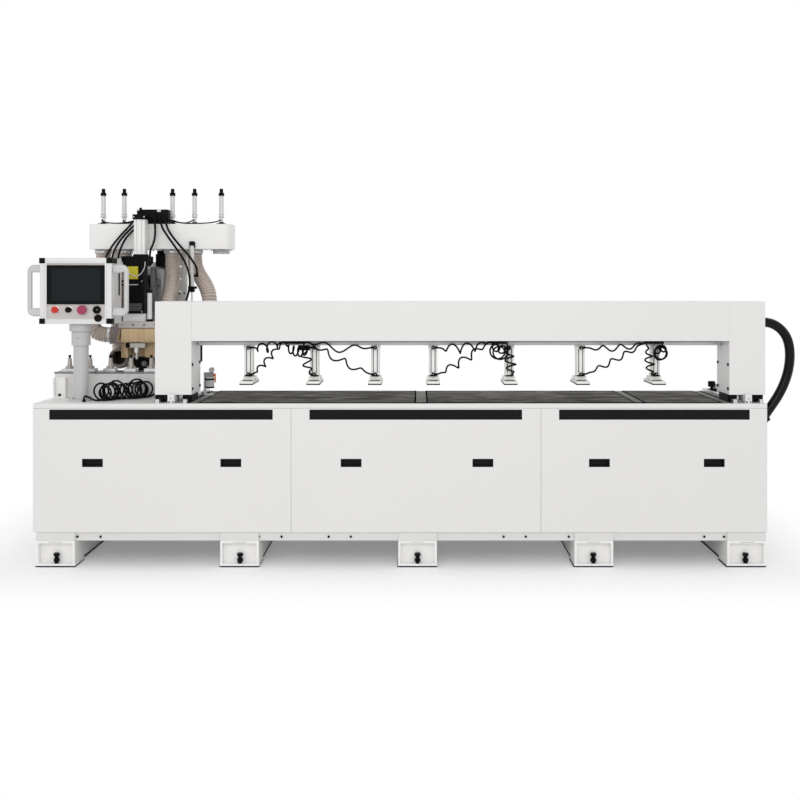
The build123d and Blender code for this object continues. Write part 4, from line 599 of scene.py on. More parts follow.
SIDE_CABLES = {
    "right_cable_1": [
        (-1376, 634, 1893), (-1364, 612, 1850), (-1336, 600, 1802), (-1290, 596, 1744), (-1234, 594, 1684),
        (-1204, 604, 1640), (-1189, 622, 1610), (-1187, 632, 1592), (-1187, 632, 1574),
    ],
    "right_cable_2": [
        (-1408, 634, 1890), (-1394, 612, 1850), (-1366, 596, 1808), (-1328, 588, 1756), (-1280, 588, 1690),
        (-1242, 590, 1626), (-1222, 592, 1560), (-1220, 594, 1500), (-1232, 602, 1448), (-1250, 626, 1408),
        (-1262, 668, 1386), (-1268, 718, 1382), (-1268, 764, 1384), (-1268, 800, 1384),
    ],
}
GATE_TUBES = {
    "gate_tube_1": [
        (-1551, 690, 1890), (-1573, 690, 1890), (-1606, 688, 1878), (-1668, 686, 1871), (-1730, 688, 1873),
        (-1768, 696, 1884), (-1780, 712, 1894), (-1780, 738, 1894),
    ],
    "gate_tube_2": [
        (-1551, 704, 1884), (-1571, 704, 1884), (-1600, 702, 1873), (-1636, 705, 1876), (-1653, 718, 1892),
        (-1653, 738, 1892),
    ],
    "gate_tube_3": [(-1395, 718, 1900), (-1395, 736, 1900), (-1388, 750, 1900), (-1373, 750, 1900)],
    "gate_tube_4": [
        (-1365, 690, 1890), (-1343, 690, 1890), (-1312, 688, 1877), (-1268, 688, 1872), (-1240, 698, 1882),
        (-1227, 714, 1894), (-1227, 738, 1894),
    ],
    "gate_tube_5": [
        (-1365, 674, 1884), (-1341, 674, 1884), (-1300, 672, 1872), (-1230, 668, 1869), (-1160, 670, 1870),
        (-1100, 682, 1876), (-1072, 700, 1886), (-1065, 718, 1894), (-1065, 738, 1894),
    ],
}
DUST_ROUTES = {
    "left_dust_hose": [
        (-1780, 750, 1690), (-1780, 750, 1580), (-1788, 718, 1450), (-1806, 668, 1330), (-1806, 616, 1250),
        (-1760, 610, 1205), (-1680, 610, 1205),
    ],
    "cuff_dust_hose": [
        (-1653, 750, 1690), (-1653, 750, 1590), (-1690, 782, 1470), (-1706, 798, 1340), (-1704, 806, 1210),
        (-1694, 804, 1120), (-1668, 770, 1065), (-1668, 676, 1065),
    ],
    "hood_dust_hose": [
        (-1361, 750, 1690), (-1361, 750, 1620), (-1357, 728, 1540), (-1348, 660, 1460), (-1353, 612, 1400),
        (-1362, 600, 1350), (-1362, 600, 1318),
    ],
    "side_dust_hose": [
        (-1227, 750, 1690), (-1227, 750, 1630), (-1206, 742, 1572), (-1164, 722, 1516), (-1138, 704, 1470),
        (-1124, 690, 1424), (-1124, 690, 1380),
    ],
}
CONDUIT_SKIN = 52
THIN_TUBE = 6
# Where the conduit's bend starts and ends
CONDUIT_ENDS = ((2120, 150, 850), (2120, 150, 1270))
# How far below a head cable's second point its bend starts
BEND_DROP = 10


def make_cables():
    bend = ("bridge", *CONDUIT_ENDS)
    looks = (CONDUIT_SKIN, "conduit_rubber", "stiff", "hanging")
    make_cord("cable_conduit_skin", CONDUIT_ROUTE, *looks, "cable_conduit", "base", bend)
    looks = (CABLE_SKIN, "black_rubber", "medium", "hanging")
    for name, route in HEAD_CABLES.items():
        top, low = route[1], route[-2]
        bend = ("spindle", (low[0], low[1], top[2] - BEND_DROP), low)
        make_cord(name, route, *looks, "head_cables", "head", bend)
    make_cord("front_tube", FRONT_TUBE, THIN_TUBE, "tube_grey", "medium", "loose", "head_cables", "spindle")
    for name, route in SIDE_CABLES.items():
        make_cord(name, route, *looks, "side_cables", "head")
    for name, route in GATE_TUBES.items():
        make_cord(name, route, TUBE_SKIN, "black_rubber", "medium", "loose", "side_cables", "head")


# Curly hoses of the clamps and the coil on the deck

HOSE_DIAMETER = 8.0
HOSE_SKIN = 9.5
POINTS_PER_TURN = 16
CLAMP_SIDE = (1, -1, -1, 1, -1, 1, -1)
CLAMP_FRONT = 160.0
# Ports that face the front, by clamp and port, with their offset along X
FRONT_PORTS = {(4, 1): 15.0, (6, 0): 12.0}
PORT_Z = (1158.0, 1013.0)
PORT_LONG = 12.0
BANJO_Y = 151.0
BANJO_OUT = 17.0
SLANT = (0.6, 0.8, 0)
BACK_SLANT = (-0.6, 0.8, 0)
EVEN = (0.3, 0.3)
# Clamp, port, end point and direction, then what curl_points takes after those
CURLS = (
    (0, 0, (-600, 76, 1192), RIGHTWARD, 3, 26, 20, 14, SLANT),
    (0, 1, (-600, 113, 1192), RIGHTWARD, 4, 17, 13, 12, SLANT),
    (1, 0, (-588, 108, 1183), UP, 5, 25, 16, 30, BACK_SLANT, (0.2, 0.2)),
    (1, 1, (-490, 78, 1183), UP, 3, 26, 11, 0, BACK, (0.3, 0.4)),
    (2, 0, (-480, 78, 1192), LEFTWARD, 2, 22, 19, 18, BACK),
    (2, 1, (-480, 112, 1192), LEFTWARD, 3.5, 19, 15, 8, BACK_SLANT),
    (3, 0, (520, 76, 1192), RIGHTWARD, 3.5, 26, 18, 18, SLANT),
    (3, 1, (520, 113, 1192), RIGHTWARD, 4, 21, 15, 14, SLANT),
    (4, 0, (531, 108, 1183), UP, 4, 36, 36, 36, RIGHTWARD, EVEN, UP),
    (4, 1, (600, 92, 1192), LEFTWARD, 4, 12, 28, 0, RIGHTWARD, (0.2, 0.6)),
    (5, 0, (1370, 78, 1192), RIGHTWARD, 3.5, 16, 14, 16, BACK),
    (5, 1, (1370, 112, 1192), RIGHTWARD, 4.5, 14, 13, 8, BACK),
    (6, 0, (1444, 84, 1183), UP, 4, 35, 35, 38, RIGHTWARD, EVEN, UP),
    (6, 1, (1370, 98, 1192), RIGHTWARD, 4, 12, 24, 0, RIGHTWARD, (0.2, 0.6)),
)


def port(index, which):
    """The outer end of a clamp's upper (0) or lower (1) fitting, and its direction."""
    x = CLAMP_X[index]
    z = PORT_Z[which]
    if (index, which) in FRONT_PORTS:
        return (x + FRONT_PORTS[index, which], CLAMP_FRONT - PORT_LONG, z), FRONT
    side = CLAMP_SIDE[index]
    return (x + side * BANJO_OUT, BANJO_Y, z), (side, 0, 0)


def smooth(share):
    """Rises smoothly from 0 to 1 over the range 0 to 1."""
    t = max(0.0, min(1.0, share))
    return t * t * (3 - 2 * t)


def curl_points(start, start_dir, end, end_dir, turns, tall, deep, drop, spread, ramps=EVEN, lift=None):
    """Control points of a curl that swings round a sagging line.

    The curl is tall along lift and deep along spread, and grows and fades over the two ramps.
    """
    first = Vector(start) + Vector(start_dir) * HOSE_DIAMETER
    last = Vector(end) - Vector(end_dir) * HOSE_DIAMETER
    axis = last - first
    u = Vector(spread).normalized()
    v = Vector(lift) if lift else axis.cross(u).normalized()
    steps = round(POINTS_PER_TURN * turns)
    points = [Vector(start), first]
    for i in range(1, steps):
        s = i / steps
        angle = 2 * math.pi * turns * s
        swing = smooth(s / ramps[0]) * smooth((1 - s) / ramps[1])
        sag = Vector((0, 0, -4 * drop * s * (1 - s)))
        centre = first + axis * s + sag
        points.append(centre + v * (swing * tall * math.cos(angle)) + u * (swing * deep * math.sin(angle)))
    return points + [last, Vector(end)]


def make_clamp_hoses():
    for clamp, which, end, end_dir, *shape in CURLS:
        start, start_dir = port(clamp, which)
        points = curl_points(start, start_dir, end, end_dir, *shape)
        name = f"clamp_{clamp + 1}_hose_{which + 1}"
        make_cord(name, points, HOSE_SKIN, "black_rubber", "limp", "hanging", "clamp_hoses", "bridge")


COIL_TUBE = 10.0
COIL_R = 44.0
COIL_UNEVEN = 0.09
COIL_TURNS = 15
COIL_X = (-1618.0, -1366.0)
COIL_Y = (92.0, 282.0)
COIL_SOCKETS = ((-1676.0, 84.0), (-1310.0, 276.0))
# Offsets of the coil's ends from their sockets
COIL_START = ((0, 0, 0), (0, 0, 10), (4, 0, 20), (22, 4, 14), (46, 9, -2))
COIL_END = ((-48, 0, 2), (-24, -1, 16), (-5, 0, 20), (0, 0, 10), (0, 0, 0))
SOCKET_TALL = 12.0
DECK_Z = 870.0


def coil_place(turn):
    """A point of the deck coil: loops that stand on the deck and lean along a diagonal."""
    share = turn / COIL_TURNS
    drift = share + 0.05 * math.sin(4 * math.pi * share)
    angle = 2 * math.pi * turn + math.pi / 2
    radius = COIL_R * (1 + COIL_UNEVEN * (math.sin(2.4 * turn) + math.sin(1.1 * turn + 2)))
    x = COIL_X[0] + (COIL_X[1] - COIL_X[0]) * drift + radius * math.cos(angle)
    y = COIL_Y[0] + (COIL_Y[1] - COIL_Y[0]) * share
    z = DECK_Z + COIL_TUBE / 2 + 0.3 + radius * (1 + math.sin(angle))
    return Vector((x, y, z))


def make_coil():
    left, right = (Vector((x, y, DECK_Z + SOCKET_TALL)) for x, y in COIL_SOCKETS)
    first = round(0.5 * POINTS_PER_TURN)
    last = round((COIL_TURNS - 0.5) * POINTS_PER_TURN)
    points = [left + Vector(offset) for offset in COIL_START]
    points += [coil_place(i / POINTS_PER_TURN) for i in range(first, last + 1)]
    points += [right + Vector(offset) for offset in COIL_END]
    make_cord("deck_coil", points, COIL_TUBE, "black_rubber", "medium", "coiled", "air_hose_coil", "base")


# Dust hoses

DUST_HOSE_R = 0.046
DUST_HOSE_BORE = 0.0395
RIB_PITCH = 0.0145
RING_SIDES = 36
# How far each step of a rib lies below the hose's outside; the wire shows on the first step
RIB_DIPS = (0.0, 0.0004, 0.0036, 0.0044, 0.0044, 0.0034)
STEPS_PER_RIB = len(RIB_DIPS)
# The body at a dust hose's lower end, where that isn't the spindle
DUST_BODIES = {"cuff_dust_hose": "head", "side_dust_hose": "side_unit"}


def steady_frames(points):
    """A pair of directions across the line at each point, turning as little as possible."""
    frames = []
    across = None
    for i, point in enumerate(points):
        ahead = points[min(i + 1, len(points) - 1)]
        behind = points[max(i - 1, 0)]
        along = (ahead - behind).normalized()
        if across is None:
            across = along.orthogonal()
        across = (across - along * across.dot(along)).normalized()
        frames.append((point, across.copy(), along.cross(across)))
    return frames


def even_points(points, step):
    """Points at an even spacing along a line of points."""
    total = run_length(points)
    count = max(2, round(total / step))
    found = []
    index, passed = 0, 0.0
    for i in range(count + 1):
        goal = total * i / count
        while index < len(points) - 2 and passed + (points[index + 1] - points[index]).length < goal:
            passed += (points[index + 1] - points[index]).length
            index += 1
        span = (points[index + 1] - points[index]).length
        found.append(points[index].lerp(points[index + 1], (goal - passed) / span))
    return found


def ring_points(frame_here, reaches):
    """Points round a line's point at these distances from it."""
    centre, u, v = frame_here
    points = []
    for k, reach in enumerate(reaches):
        angle = 2 * math.pi * k / len(reaches)
        points.append(centre + (u * math.cos(angle) + v * math.sin(angle)) * reach)
    return points


def rib_phase(ring, side):
    return (ring + STEPS_PER_RIB * side / RING_SIDES) % STEPS_PER_RIB


def rib_dip(ring, side):
    """How far the hose lies below its outside there, between the steps of the rib's shape."""
    phase = rib_phase(ring, side)
    low = int(phase)
    here = RIB_DIPS[low % STEPS_PER_RIB]
    there = RIB_DIPS[(low + 1) % STEPS_PER_RIB]
    return here + (there - here) * (phase - low)


def is_wire(ring, side):
    return int(rib_phase(ring + 0.5, side + 0.5)) % STEPS_PER_RIB == 0


def dust_hose_mesh(name, path):
    """A spiral dust hose: the wire winds round the wall as a helix, over an open bore."""
    frames = steady_frames(even_points(path, RIB_PITCH / STEPS_PER_RIB))
    count = len(frames)
    rows = []
    for r, here in enumerate(frames):
        rows.append(ring_points(here, [DUST_HOSE_R - rib_dip(r, k) for k in range(RING_SIDES)]))
    for here in reversed(frames):
        rows.append(ring_points(here, [DUST_HOSE_BORE] * RING_SIDES))
    verts = [point for row in rows for point in row]
    faces, marks = [], []
    for r in range(len(rows)):
        a = r * RING_SIDES
        b = (r + 1) % len(rows) * RING_SIDES
        for k in range(RING_SIDES):
            n = (k + 1) % RING_SIDES
            faces.append((a + k, a + n, b + n, b + k))
            outside = 0 if is_wire(r, k) else 1
            # Faces of the bore get the third material, the painted shade inside the hose.
            marks.append(outside if r < count - 1 else 2)
    mesh = bpy.data.meshes.new(name)
    mesh.from_pydata(verts, [], faces)
    for face, mark in zip(mesh.polygons, marks):
        face.material_index = mark
        face.use_smooth = True
    return paint(add_object(name, mesh), "hose_wire", "hose_wall", "hose_inside")


BAND_WIDE = 14.0
BAND_R = (44.0, 47.4)


def hose_band(name, route, body):
    """The clamp band that holds a hose's lower end on its cuff, with its screw housing."""
    low = Vector(route[-1])
    along = (Vector(route[-2]) - low).normalized()
    near = low + along * 8
    far = near + along * BAND_WIDE
    bore, rim = BAND_R
    band = Detail(name)
    band.turned("steel", near, far, ((0, bore), (0, rim), (1, rim), (1, bore)), 48, hollow=True)
    out = along.cross(Vector((0, 1, 0.2))).normalized()
    middle = near.lerp(far, 0.5) + out * (rim + 3)
    half = along.cross(out).normalized() * 12
    band.turned("dark_steel", middle - half, middle + half, ((0, 5), (0.8, 5), (0.8, 4), (1, 4)), 8)
    return band.finish(body)


def make_dust_hoses():
    for name, route in DUST_ROUTES.items():
        points = [place(p) for p in route]
        path = line_points(points, 12)
        hose = dust_hose_mesh(name, path)
        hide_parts("dust_hoses")
        body = DUST_BODIES.get(name, "spindle")
        if body == "head":
            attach(hose, body)
        else:
            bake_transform(hose)
        band = hose_band(f"{name}_band", route, body)


# Brushes of the dust hood

BRISTLE_PITCH = 2.1
BRISTLE_WIDE = 2.3
BRISTLE_TOP = 1248.0
# Start X and Y, length, direction, lower end, lean of the lower end
BRUSH_ROWS = (
    (-1592, 485, 271, RIGHTWARD, 1165, (0, -5)),
    (-1592, 502, 271, RIGHTWARD, 1173, (0, 2)),
    (-1603, 492, 62, BACK, 1165, (-16, 0)),
    (-1310, 492, 190, BACK, 1165, (8, 0)),
    (-1325, 492, 170, BACK, 1072, (0, 0)),
    (-1592, 695, 271, RIGHTWARD, 1072, (0, 4)),
    (-1592, 678, 241, RIGHTWARD, 1072, (0, 0)),
    (-1588, 570, 90, BACK, 1072, (-4, 0)),
    (-1604, 536, 150, BACK, 1072, (-2, 0)),
    (-1605, 546, 32, RIGHTWARD, 1072, (0, 0)),
    (-1472, 546, 138, RIGHTWARD, 1072, (0, 0)),
)


def bristle_strand(bm, top, low, side, deep):
    """One flat bristle, narrower at its end, with a slight bend."""
    middle = top.lerp(low, 0.55) + (top - low).cross(side).normalized() * 0.4
    rows = []
    for centre, size in ((top, 1.0), (middle, 0.95), (low, 0.7)):
        w = side * (BRISTLE_WIDE / 2 * size)
        d = deep * (0.8 * size)
        rows.append([bm.verts.new(place(centre + s)) for s in (-w - d, w - d, w + d, -w + d)])
    for upper, lower in zip(rows, rows[1:]):
        for i in range(4):
            j = (i + 1) % 4
            bm.faces.new((upper[i], upper[j], lower[j], lower[i]))
    bm.faces.new(rows[-1])
    bm.faces.new(list(reversed(rows[0])))


def make_brushes():
    draw = random.Random(7)
    bm = bmesh.new()
    for x, y, length, along, low_z, lean in BRUSH_ROWS:
        side = Vector(along)
        deep = Vector((side.y, side.x, 0))
        for layer in (-1.3, 1.3):
            for i in range(int(length / BRISTLE_PITCH)):
                at = Vector((x, y, 0)) + side * ((i + 0.5) * BRISTLE_PITCH) + deep * layer
                tuft = 1.8 * math.sin(0.42 * i + layer) + draw.uniform(-1.2, 1.2)
                low = at + Vector((*lean, 0)) + side * tuft
                low.z = low_z + 4 + draw.uniform(-2, 5)
                bristle_strand(bm, at + Vector((0, 0, BRISTLE_TOP)), low, side, deep)
    mesh = bpy.data.meshes.new("hood_bristles")
    bm.to_mesh(mesh)
    bm.free()
    obj = paint(add_object("hood_bristles", mesh), "bristle")
    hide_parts("hood_brushes")
    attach(obj, "spindle")


# Small pieces that the solids leave out


class Detail:
    """A mesh of several small forms that ride on one body."""

    def __init__(self, name):
        self.name = name
        self.bm = bmesh.new()
        self.materials = []

    def _paint(self, faces, material):
        if material not in self.materials:
            self.materials.append(material)
        for face in faces:
            face.material_index = self.materials.index(material)

    def box(self, material, x0, x1, y0, y1, z0, z1, edge):
        """A block with small bevelled edges."""
        made = bmesh.ops.create_cube(self.bm, size=1.0)["verts"]
        low, high = place((x0, y0, z0)), place((x1, y1, z1))
        for v in made:
            v.co = Vector([(a + b) / 2 + c * (b - a) for a, b, c in zip(low, high, v.co)])
        edges = list({e for v in made for e in v.link_edges})
        made = bmesh.ops.bevel(self.bm, geom=edges, offset=edge * MM, segments=2, affect="EDGES")["verts"]
        self._paint({f for v in made for f in v.link_faces}, material)

    def turned(self, material, start, end, profile, sides, hollow=False):
        """A turned form from start to end: pairs of share of the length and radius."""
        a, b = place(start), place(end)
        along = (b - a).normalized()
        u = along.orthogonal().normalized()
        v = along.cross(u)
        rings = []
        for share, radius in profile:
            spots = ring_points((a.lerp(b, share), u, v), [radius * MM] * sides)
            rings.append([self.bm.verts.new(spot) for spot in spots])
        if hollow:
            rings.append(rings[0])
            faces = []
        else:
            faces = [self.bm.faces.new(list(reversed(rings[0]))), self.bm.faces.new(rings[-1])]
        for near, far in zip(rings, rings[1:]):
            for k in range(sides):
                n = (k + 1) % sides
                faces.append(self.bm.faces.new((near[k], near[n], far[n], far[k])))
        self._paint(faces, material)

    def screws(self, material, xs, ys, zs, out, radius, tall):
        """Socket head screws with hexagon recesses, at every place of a grid."""
        rim, recess, floor = radius * 0.92, radius * 0.55, radius * 0.5
        profile = ((0, radius), (0.75, radius), (1, rim), (1, recess), (0.45, floor))
        for at in itertools.product(xs, ys, zs):
            start = Vector(at)
            self.turned(material, start, start + Vector(out) * tall, profile, 12)

    def finish(self, body):
        bmesh.ops.recalc_face_normals(self.bm, faces=self.bm.faces)
        mesh = bpy.data.meshes.new(self.name)
        self.bm.to_mesh(mesh)
        self.bm.free()
        obj = paint(add_object(self.name, mesh), *self.materials)
        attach(obj, body)
        return obj


GUIDE_X = (-1261.0, -1114.0, 1815.0, 1955.0)


def rail_screws():
    guides = Detail("guide_screws")
    guides.screws("dark_steel", GUIDE_X, range(34, 634, 60), (892,), UP, 4.6, 0.4)
    guides.finish("base")
    bed = Detail("bed_screws")
    bed.screws("dark_steel", range(-1870, 1970, 80), (940, 1160), (666,), UP, 6.0, 0.4)
    bed.finish("base")


BUTTON_Z = 1367
PANEL_SIDES = (-1907.0, -1518.0)


def panel_details():
    """Bezels of the buttons, lid, corner strips, handle arms, grey lines that paint the shade of the
    frame's grooves, and screws of the panel.
    """
    detail = Detail("panel_details")
    for x, radius in ((-1822, 20.5), (-1750, 19.5), (-1675, 20.0)):
        profile = ((0, radius - 2), (0.4, radius), (1, radius), (1, 13.2), (0, 13.2))
        detail.turned("bright_steel", (x, 62.4, BUTTON_Z), (x, 64, BUTTON_Z), profile, 32)
    lock = ((0, 3), (0.5, 5), (1, 5))
    detail.turned("dark_steel", (-1599, 58, BUTTON_Z), (-1599, 61.2, BUTTON_Z), lock, 16)
    detail.turned("black_plastic", (-1592, 53.2, 1322), (-1592, 54, 1322), ((0, 14), (1, 16)), 32)
    detail.box("frame_grey", -1870, -1555, 95, 205, 1637, 1643.5, 1)
    left, right = PANEL_SIDES
    detail.box("black_plastic", right - 0.5, right + 0.8, 176, 204, 1443, 1567, 0.3)
    for x0, x1 in ((-1966, -1903), (-1522, -1450)):
        for z0, z1 in ((1568, 1600), (1341, 1376)):
            detail.box("handle_grey", x0, x1, 75, 97, z0, z1, 5)
    for x in (-1908.5, -1520.5):
        for back, z0, z1 in ((150, 1617, 1645.5), (98, 1291.5, 1320)):
            detail.box("black_plastic", x, x + 4, 57, back, z0, z1, 1)
    # Grey lines on the frame's front: painted shade of its grooves.
    for z in (1313, 1623):
        detail.box("plate_grey", -1876, -1549, 59.4, 60.2, z, z + 1.6, 0.2)
    for x in (-1880, -1547):
        detail.box("plate_grey", x, x + 1.6, 59.4, 60.2, 1322, 1615, 0.2)
    for x, out in ((right, RIGHTWARD), (left, LEFTWARD)):
        detail.screws("steel", (x,), (103, 197), (1330, 1606), out, 4, 1.6)
    detail.screws("steel", (-1850, -1574), (240,), (1335, 1600), BACK, 4, 2)
    detail.finish("operator_panel")


def clamp_details(detail, index):
    """Black plates under a clamp's cylinder that paint the shadow of its gap above the pad, its front
    screws and the caps of its elbow fittings.
    """
    x = CLAMP_X[index]
    # Black plates under the cylinder's bottom: painted shadow of the gap above the pad.
    for y0, y1 in ((159, 181), (199, 219)):
        detail.box("black_plastic", x - 23, x + 23, y0, y1, 1003.2, 1007, 0.6)
    detail.box("black_plastic", x - 17, x + 17, 153, 161, 1001.5, 1009, 1)
    detail.screws("dark_steel", (x - 20, x + 20), (CLAMP_FRONT,), (1164,), FRONT, 2.6, 1.2)
    for which, z in enumerate(PORT_Z):
        if (index, which) not in FRONT_PORTS:
            detail.turned("black_plastic", (x, 147, z), (x, 143, z), ((0, 10.5), (0.6, 10.5), (1, 9)), 20)
            detail.turned("steel", (x, 143, z), (x, 141.5, z), ((0, 3), (0.7, 3), (1, 2.2)), 6)


def bridge_details():
    """Welded seams, rail screws, a grey strip that paints the shade at the top of the rail, wipers, and the
    small pieces of the clamps.
    """
    detail = Detail("bridge_details")
    for x, y in ((-1084, 30), (-1084, 250), (1790, 250)):
        detail.box("machine_white", x - 1, x + 1, y - 0.3, y + 0.3, 1201, 1412, 0.2)
    free_x = [x for x in range(-1020, 1860, 120) if min(abs(x - clamp) for clamp in CLAMP_X) > 34]
    detail.screws("dark_steel", free_x, (215,), (1170,), DOWN, 5.5, 1.2)
    for x in GUIDE_X:
        detail.box("black_rubber", x - 23, x + 23, 54, 60, 894, 912, 1.5)
        detail.screws("black_metal", (x - 17, x + 17), (54,), (905,), FRONT, 3, 1.5)
    # A grey strip along the top of the rail's front paints the shade under the beam's edge.
    detail.box("grey_plastic", -1070, 1776, 169.2, 170.2, 1186.5, 1197, 0.2)
    for index in range(len(CLAMP_X)):
        clamp_details(detail, index)
    detail.finish("bridge")


def pad_details():
    """Bolts, rubber sole and press block of each pad."""
    for number, x in enumerate(CLAMP_X, start=1):
        detail = Detail(f"pad_bolts_{number}")
        detail.screws("dark_steel", (x - 15, x + 15), (128,), (973,), UP, 5, 4)
        detail.screws("dark_steel", (x - 15, x + 15), (275,), (980,), UP, 5, 3)
        detail.box("black_rubber", x - 36.4, x + 36.4, 82.1, 297.9, 961, 968.2, 0.5)
        detail.box("plate_light", x - 32, x + 32, 166, 252, 980.2, 1000.5, 2.5)
        detail.finish(f"clamp_{number}")


GATE_X = (-1780, -1653, -1361, -1227, -1065)
GATE_Y = 750
COLLAR = ((0, 51), (0.15, 52.4), (0.85, 52.4), (1, 51))


def gate_details(detail, x):
    """Screws, base ring, joint lines and ribbed cap of one gate cylinder."""
    detail.screws("steel", (x - 20, x + 20), (GATE_Y - 20, GATE_Y + 20), (1873,), UP, 3.5, 3)
    rings = [("black_plastic", 1872, 1882, ((0, 16), (0.8, 16), (1, 14.5)), 24)]
    for z in (1911.5, 1924):
        rings.append(("dark_steel", z, z + 2.2, ((0, 17.2), (0.5, 17.6), (1, 17.2)), 28))
    for z in (2062, 2068, 2074):
        rings.append(("black_plastic", z, z + 4, ((0, 10.6), (0.5, 11.2), (1, 10.6)), 24))
    for material, z0, z1, profile, sides in rings:
        detail.turned(material, (x, GATE_Y, z0), (x, GATE_Y, z1), profile, sides)


def head_details():
    """Bolts, hose collars and gate cylinders of the manifold, and small plates and screws of the head."""
    detail = Detail("head_details")
    for x, y in itertools.product(range(-1800, -960, 60), (668, 832)):
        detail.turned("steel", (x, y, 1716), (x, y, 1709), ((0, 4), (0.4, 4), (0.4, 6), (1, 6)), 6)
    for x in GATE_X[:4]:
        detail.turned("steel", (x, GATE_Y, 1696), (x, GATE_Y, 1706), COLLAR, 40)
    for x in GATE_X:
        gate_details(detail, x)
    detail.screws("dark_steel", (-1745, -1715, -1345, -1315), (860,), (1050, 1250, 1450), FRONT, 6, 3)
    detail.box("light_plastic", -1428, -1406, 644.5, 652, 1936, 1951.5, 1)
    for y in (614, 639):
        detail.box("black_plastic", -1237, -1190, y, y + 11, 1478, 1493, 2)
    detail.box("black_plastic", -1534, -1519, 645, 652.5, 1914, 1962, 1.5)
    detail.turned("steel", (-1534, 648, 1947), (-1549, 648, 1947), ((0, 4), (0.6, 4), (0.6, 7), (1, 7)), 10)
    detail.screws("dark_steel", (-1731, -1330), (890,), (1765, 1815), BACK, 8, 5)
    detail.finish("head")


def spindle_details():
    """Cooling grooves, cover screws, dark blocks and hood screws on the spindle."""
    detail = Detail("spindle_details")
    for z in range(1352, 1397, 9):
        detail.box("dark_steel", -1572, -1478, 499.2, 500.2, z, z + 4, 0.3)
    detail.box("grey_plastic", -1560, -1500, 499.0, 500.2, 1499, 1506, 0.4)
    detail.screws("steel", (-1572, -1478), (500,), (1345, 1522), FRONT, 3.5, 1.5)
    detail.screws("steel", (-1583, -1467), (510,), (1311,), FRONT, 4, 2)
    detail.screws("steel", (-1532, -1472), (524,), (1899,), FRONT, 4, 1.5)
    detail.box("black_plastic", -1571, -1547, 494, 530, 1136, 1164, 1)
    detail.box("black_plastic", -1588, -1556, 706, 786, 996, 1064, 3)
    for x in range(-1590, -1265, 65):
        detail.turned("dark_steel", (x, 480, 1270), (x, 475.5, 1270), ((0, 7), (0.5, 7), (1, 5.5)), 6)
    detail.finish("spindle")


GAUGE = (-1052.0, 1016.0)
FOOT_HALF = 102.5


def gauge_face(detail):
    """The dial of the air gauge with its ticks and pointer."""
    x, z = GAUGE
    detail.turned("light_plastic", (x, 389.4, z), (x, 390, z), ((0, 11), (1, 12)), 32)
    for i in range(9):
        angle = math.radians(-130 + 32.5 * i)
        tick_x = x + 9 * math.sin(angle)
        tick_z = z + 9 * math.cos(angle)
        ends = (tick_x, 389, tick_z), (tick_x, 389.6, tick_z)
        detail.turned("black_plastic", *ends, ((0, 0.7), (1, 0.7)), 8)
    detail.box("red_cap", x - 0.8, x + 0.8, 388.8, 389.4, z - 2, z + 8, 0.2)


def deck_details():
    """Gauge face, screws and ribs of the rack, and the plates and rubber strips of the feet."""
    detail = Detail("deck_details")
    gauge_face(detail)
    for x in DRIVE_X:
        detail.screws("black_metal", (x - 10, x + 10), (6,), (878,), FRONT, 4, 3)
    detail.box("black_plastic", -1882, -1866, 268.5, 270.3, 880, 894, 0.6)
    detail.screws("steel", (-1800, -1680, -1500, -1380), (300,), (992,), FRONT, 4, 2)
    for x in (-1713, -1563, -1440):
        detail.box("bright_white", x - 2, x + 2, 297, 300.5, 880, 990, 0.5)
    for foot in FOOT_X:
        detail.box("post_white", foot - 36, foot + 36, -0.2, 1.2, 131, 135, 0.3)
        detail.box("sill_white", foot - FOOT_HALF, foot + FOOT_HALF, 1, 12.2, 139.8, 184.8, 0.4)
        for side in (foot - FOOT_HALF, foot + FOOT_HALF):
            detail.box("black_rubber", side - 1.2, side + 1.2, 150.2, 1099.8, 12, 24, 0.3)
            detail.box("black_rubber", side - 5, side + 1.5, 4.2, 149.8, 0.5, 8.4, 0.3)
    detail.finish("base")


def table_details():
    """Black boxes that paint the shade in the table's joints and under its front edge, white strips in the
    panel seams, and a screw on the panel's post.
    """
    detail = Detail("table_details")
    for x in itertools.chain(*TABLE_STRIPS):
        # Black boxes in the joints and along the front edge: painted shade in the gaps.
        detail.box("black_gap", x - 4, x + 4, 15, 639, 866, 872.4, 0.2)
    detail.box("black_gap", -1045, 1750, 14.2, 46, 866, 872.2, 0.2)
    detail.box("machine_white", -1904, 1976, 1, 6, 844.2, 845.8, 0.2)
    for x in (-548, 780):
        detail.box("machine_white", x - 1.2, x + 1.2, 1, 6, 188, 843, 0.2)
    detail.screws("dark_steel", (-1714,), (100.6,), (1212,), FRONT, 3.5, 1.5)
    detail.finish("base")


def make_details():
    rail_screws()
    table_details()
    panel_details()
    bridge_details()
    pad_details()
    head_details()
    spindle_details()
    deck_details()


# Camera, light and floor

CAMERA_PLACE = (0.121, -5.925, 1.495)
CAMERA_LENS = 44.9
CAMERA_SHIFT = (-0.02125, -0.1425)


def make_camera():
    data = bpy.data.cameras.new("camera")
    data.lens = CAMERA_LENS
    data.sensor_width = 36.0
    data.shift_x, data.shift_y = CAMERA_SHIFT
    data.clip_end = 60.0
    camera = add_object("camera", data)
    camera.location = CAMERA_PLACE
    camera.rotation_euler = (math.radians(90), 0, 0)
    bpy.context.scene.camera = camera


WHITE = (1, 1, 1, 1)
SKY_COLOUR = (0.985, 0.98, 0.98, 1)
SKY_LIGHT = 0.79
FLOOR_HALF = 9.0
FLOOR_COLOUR = (0.97, 0.97, 0.97)
SHADOW_BOX = (1.95, 0.625)
SHADOW_FADE = (-0.1, 0.75)
SHADOW_LIFT = 0.17


def seen_directly(tree):
    """1 where the camera, a mirror or glass looks at the surface, 0 where light falls on it."""
    rays = tree.nodes.new("ShaderNodeLightPath").outputs
    seen = rays["Is Camera Ray"]
    for ray in ("Is Glossy Ray", "Is Transmission Ray"):
        seen = add_node(tree, "Math", {0: seen, 1: rays[ray]}, operation="MAXIMUM")
    return seen


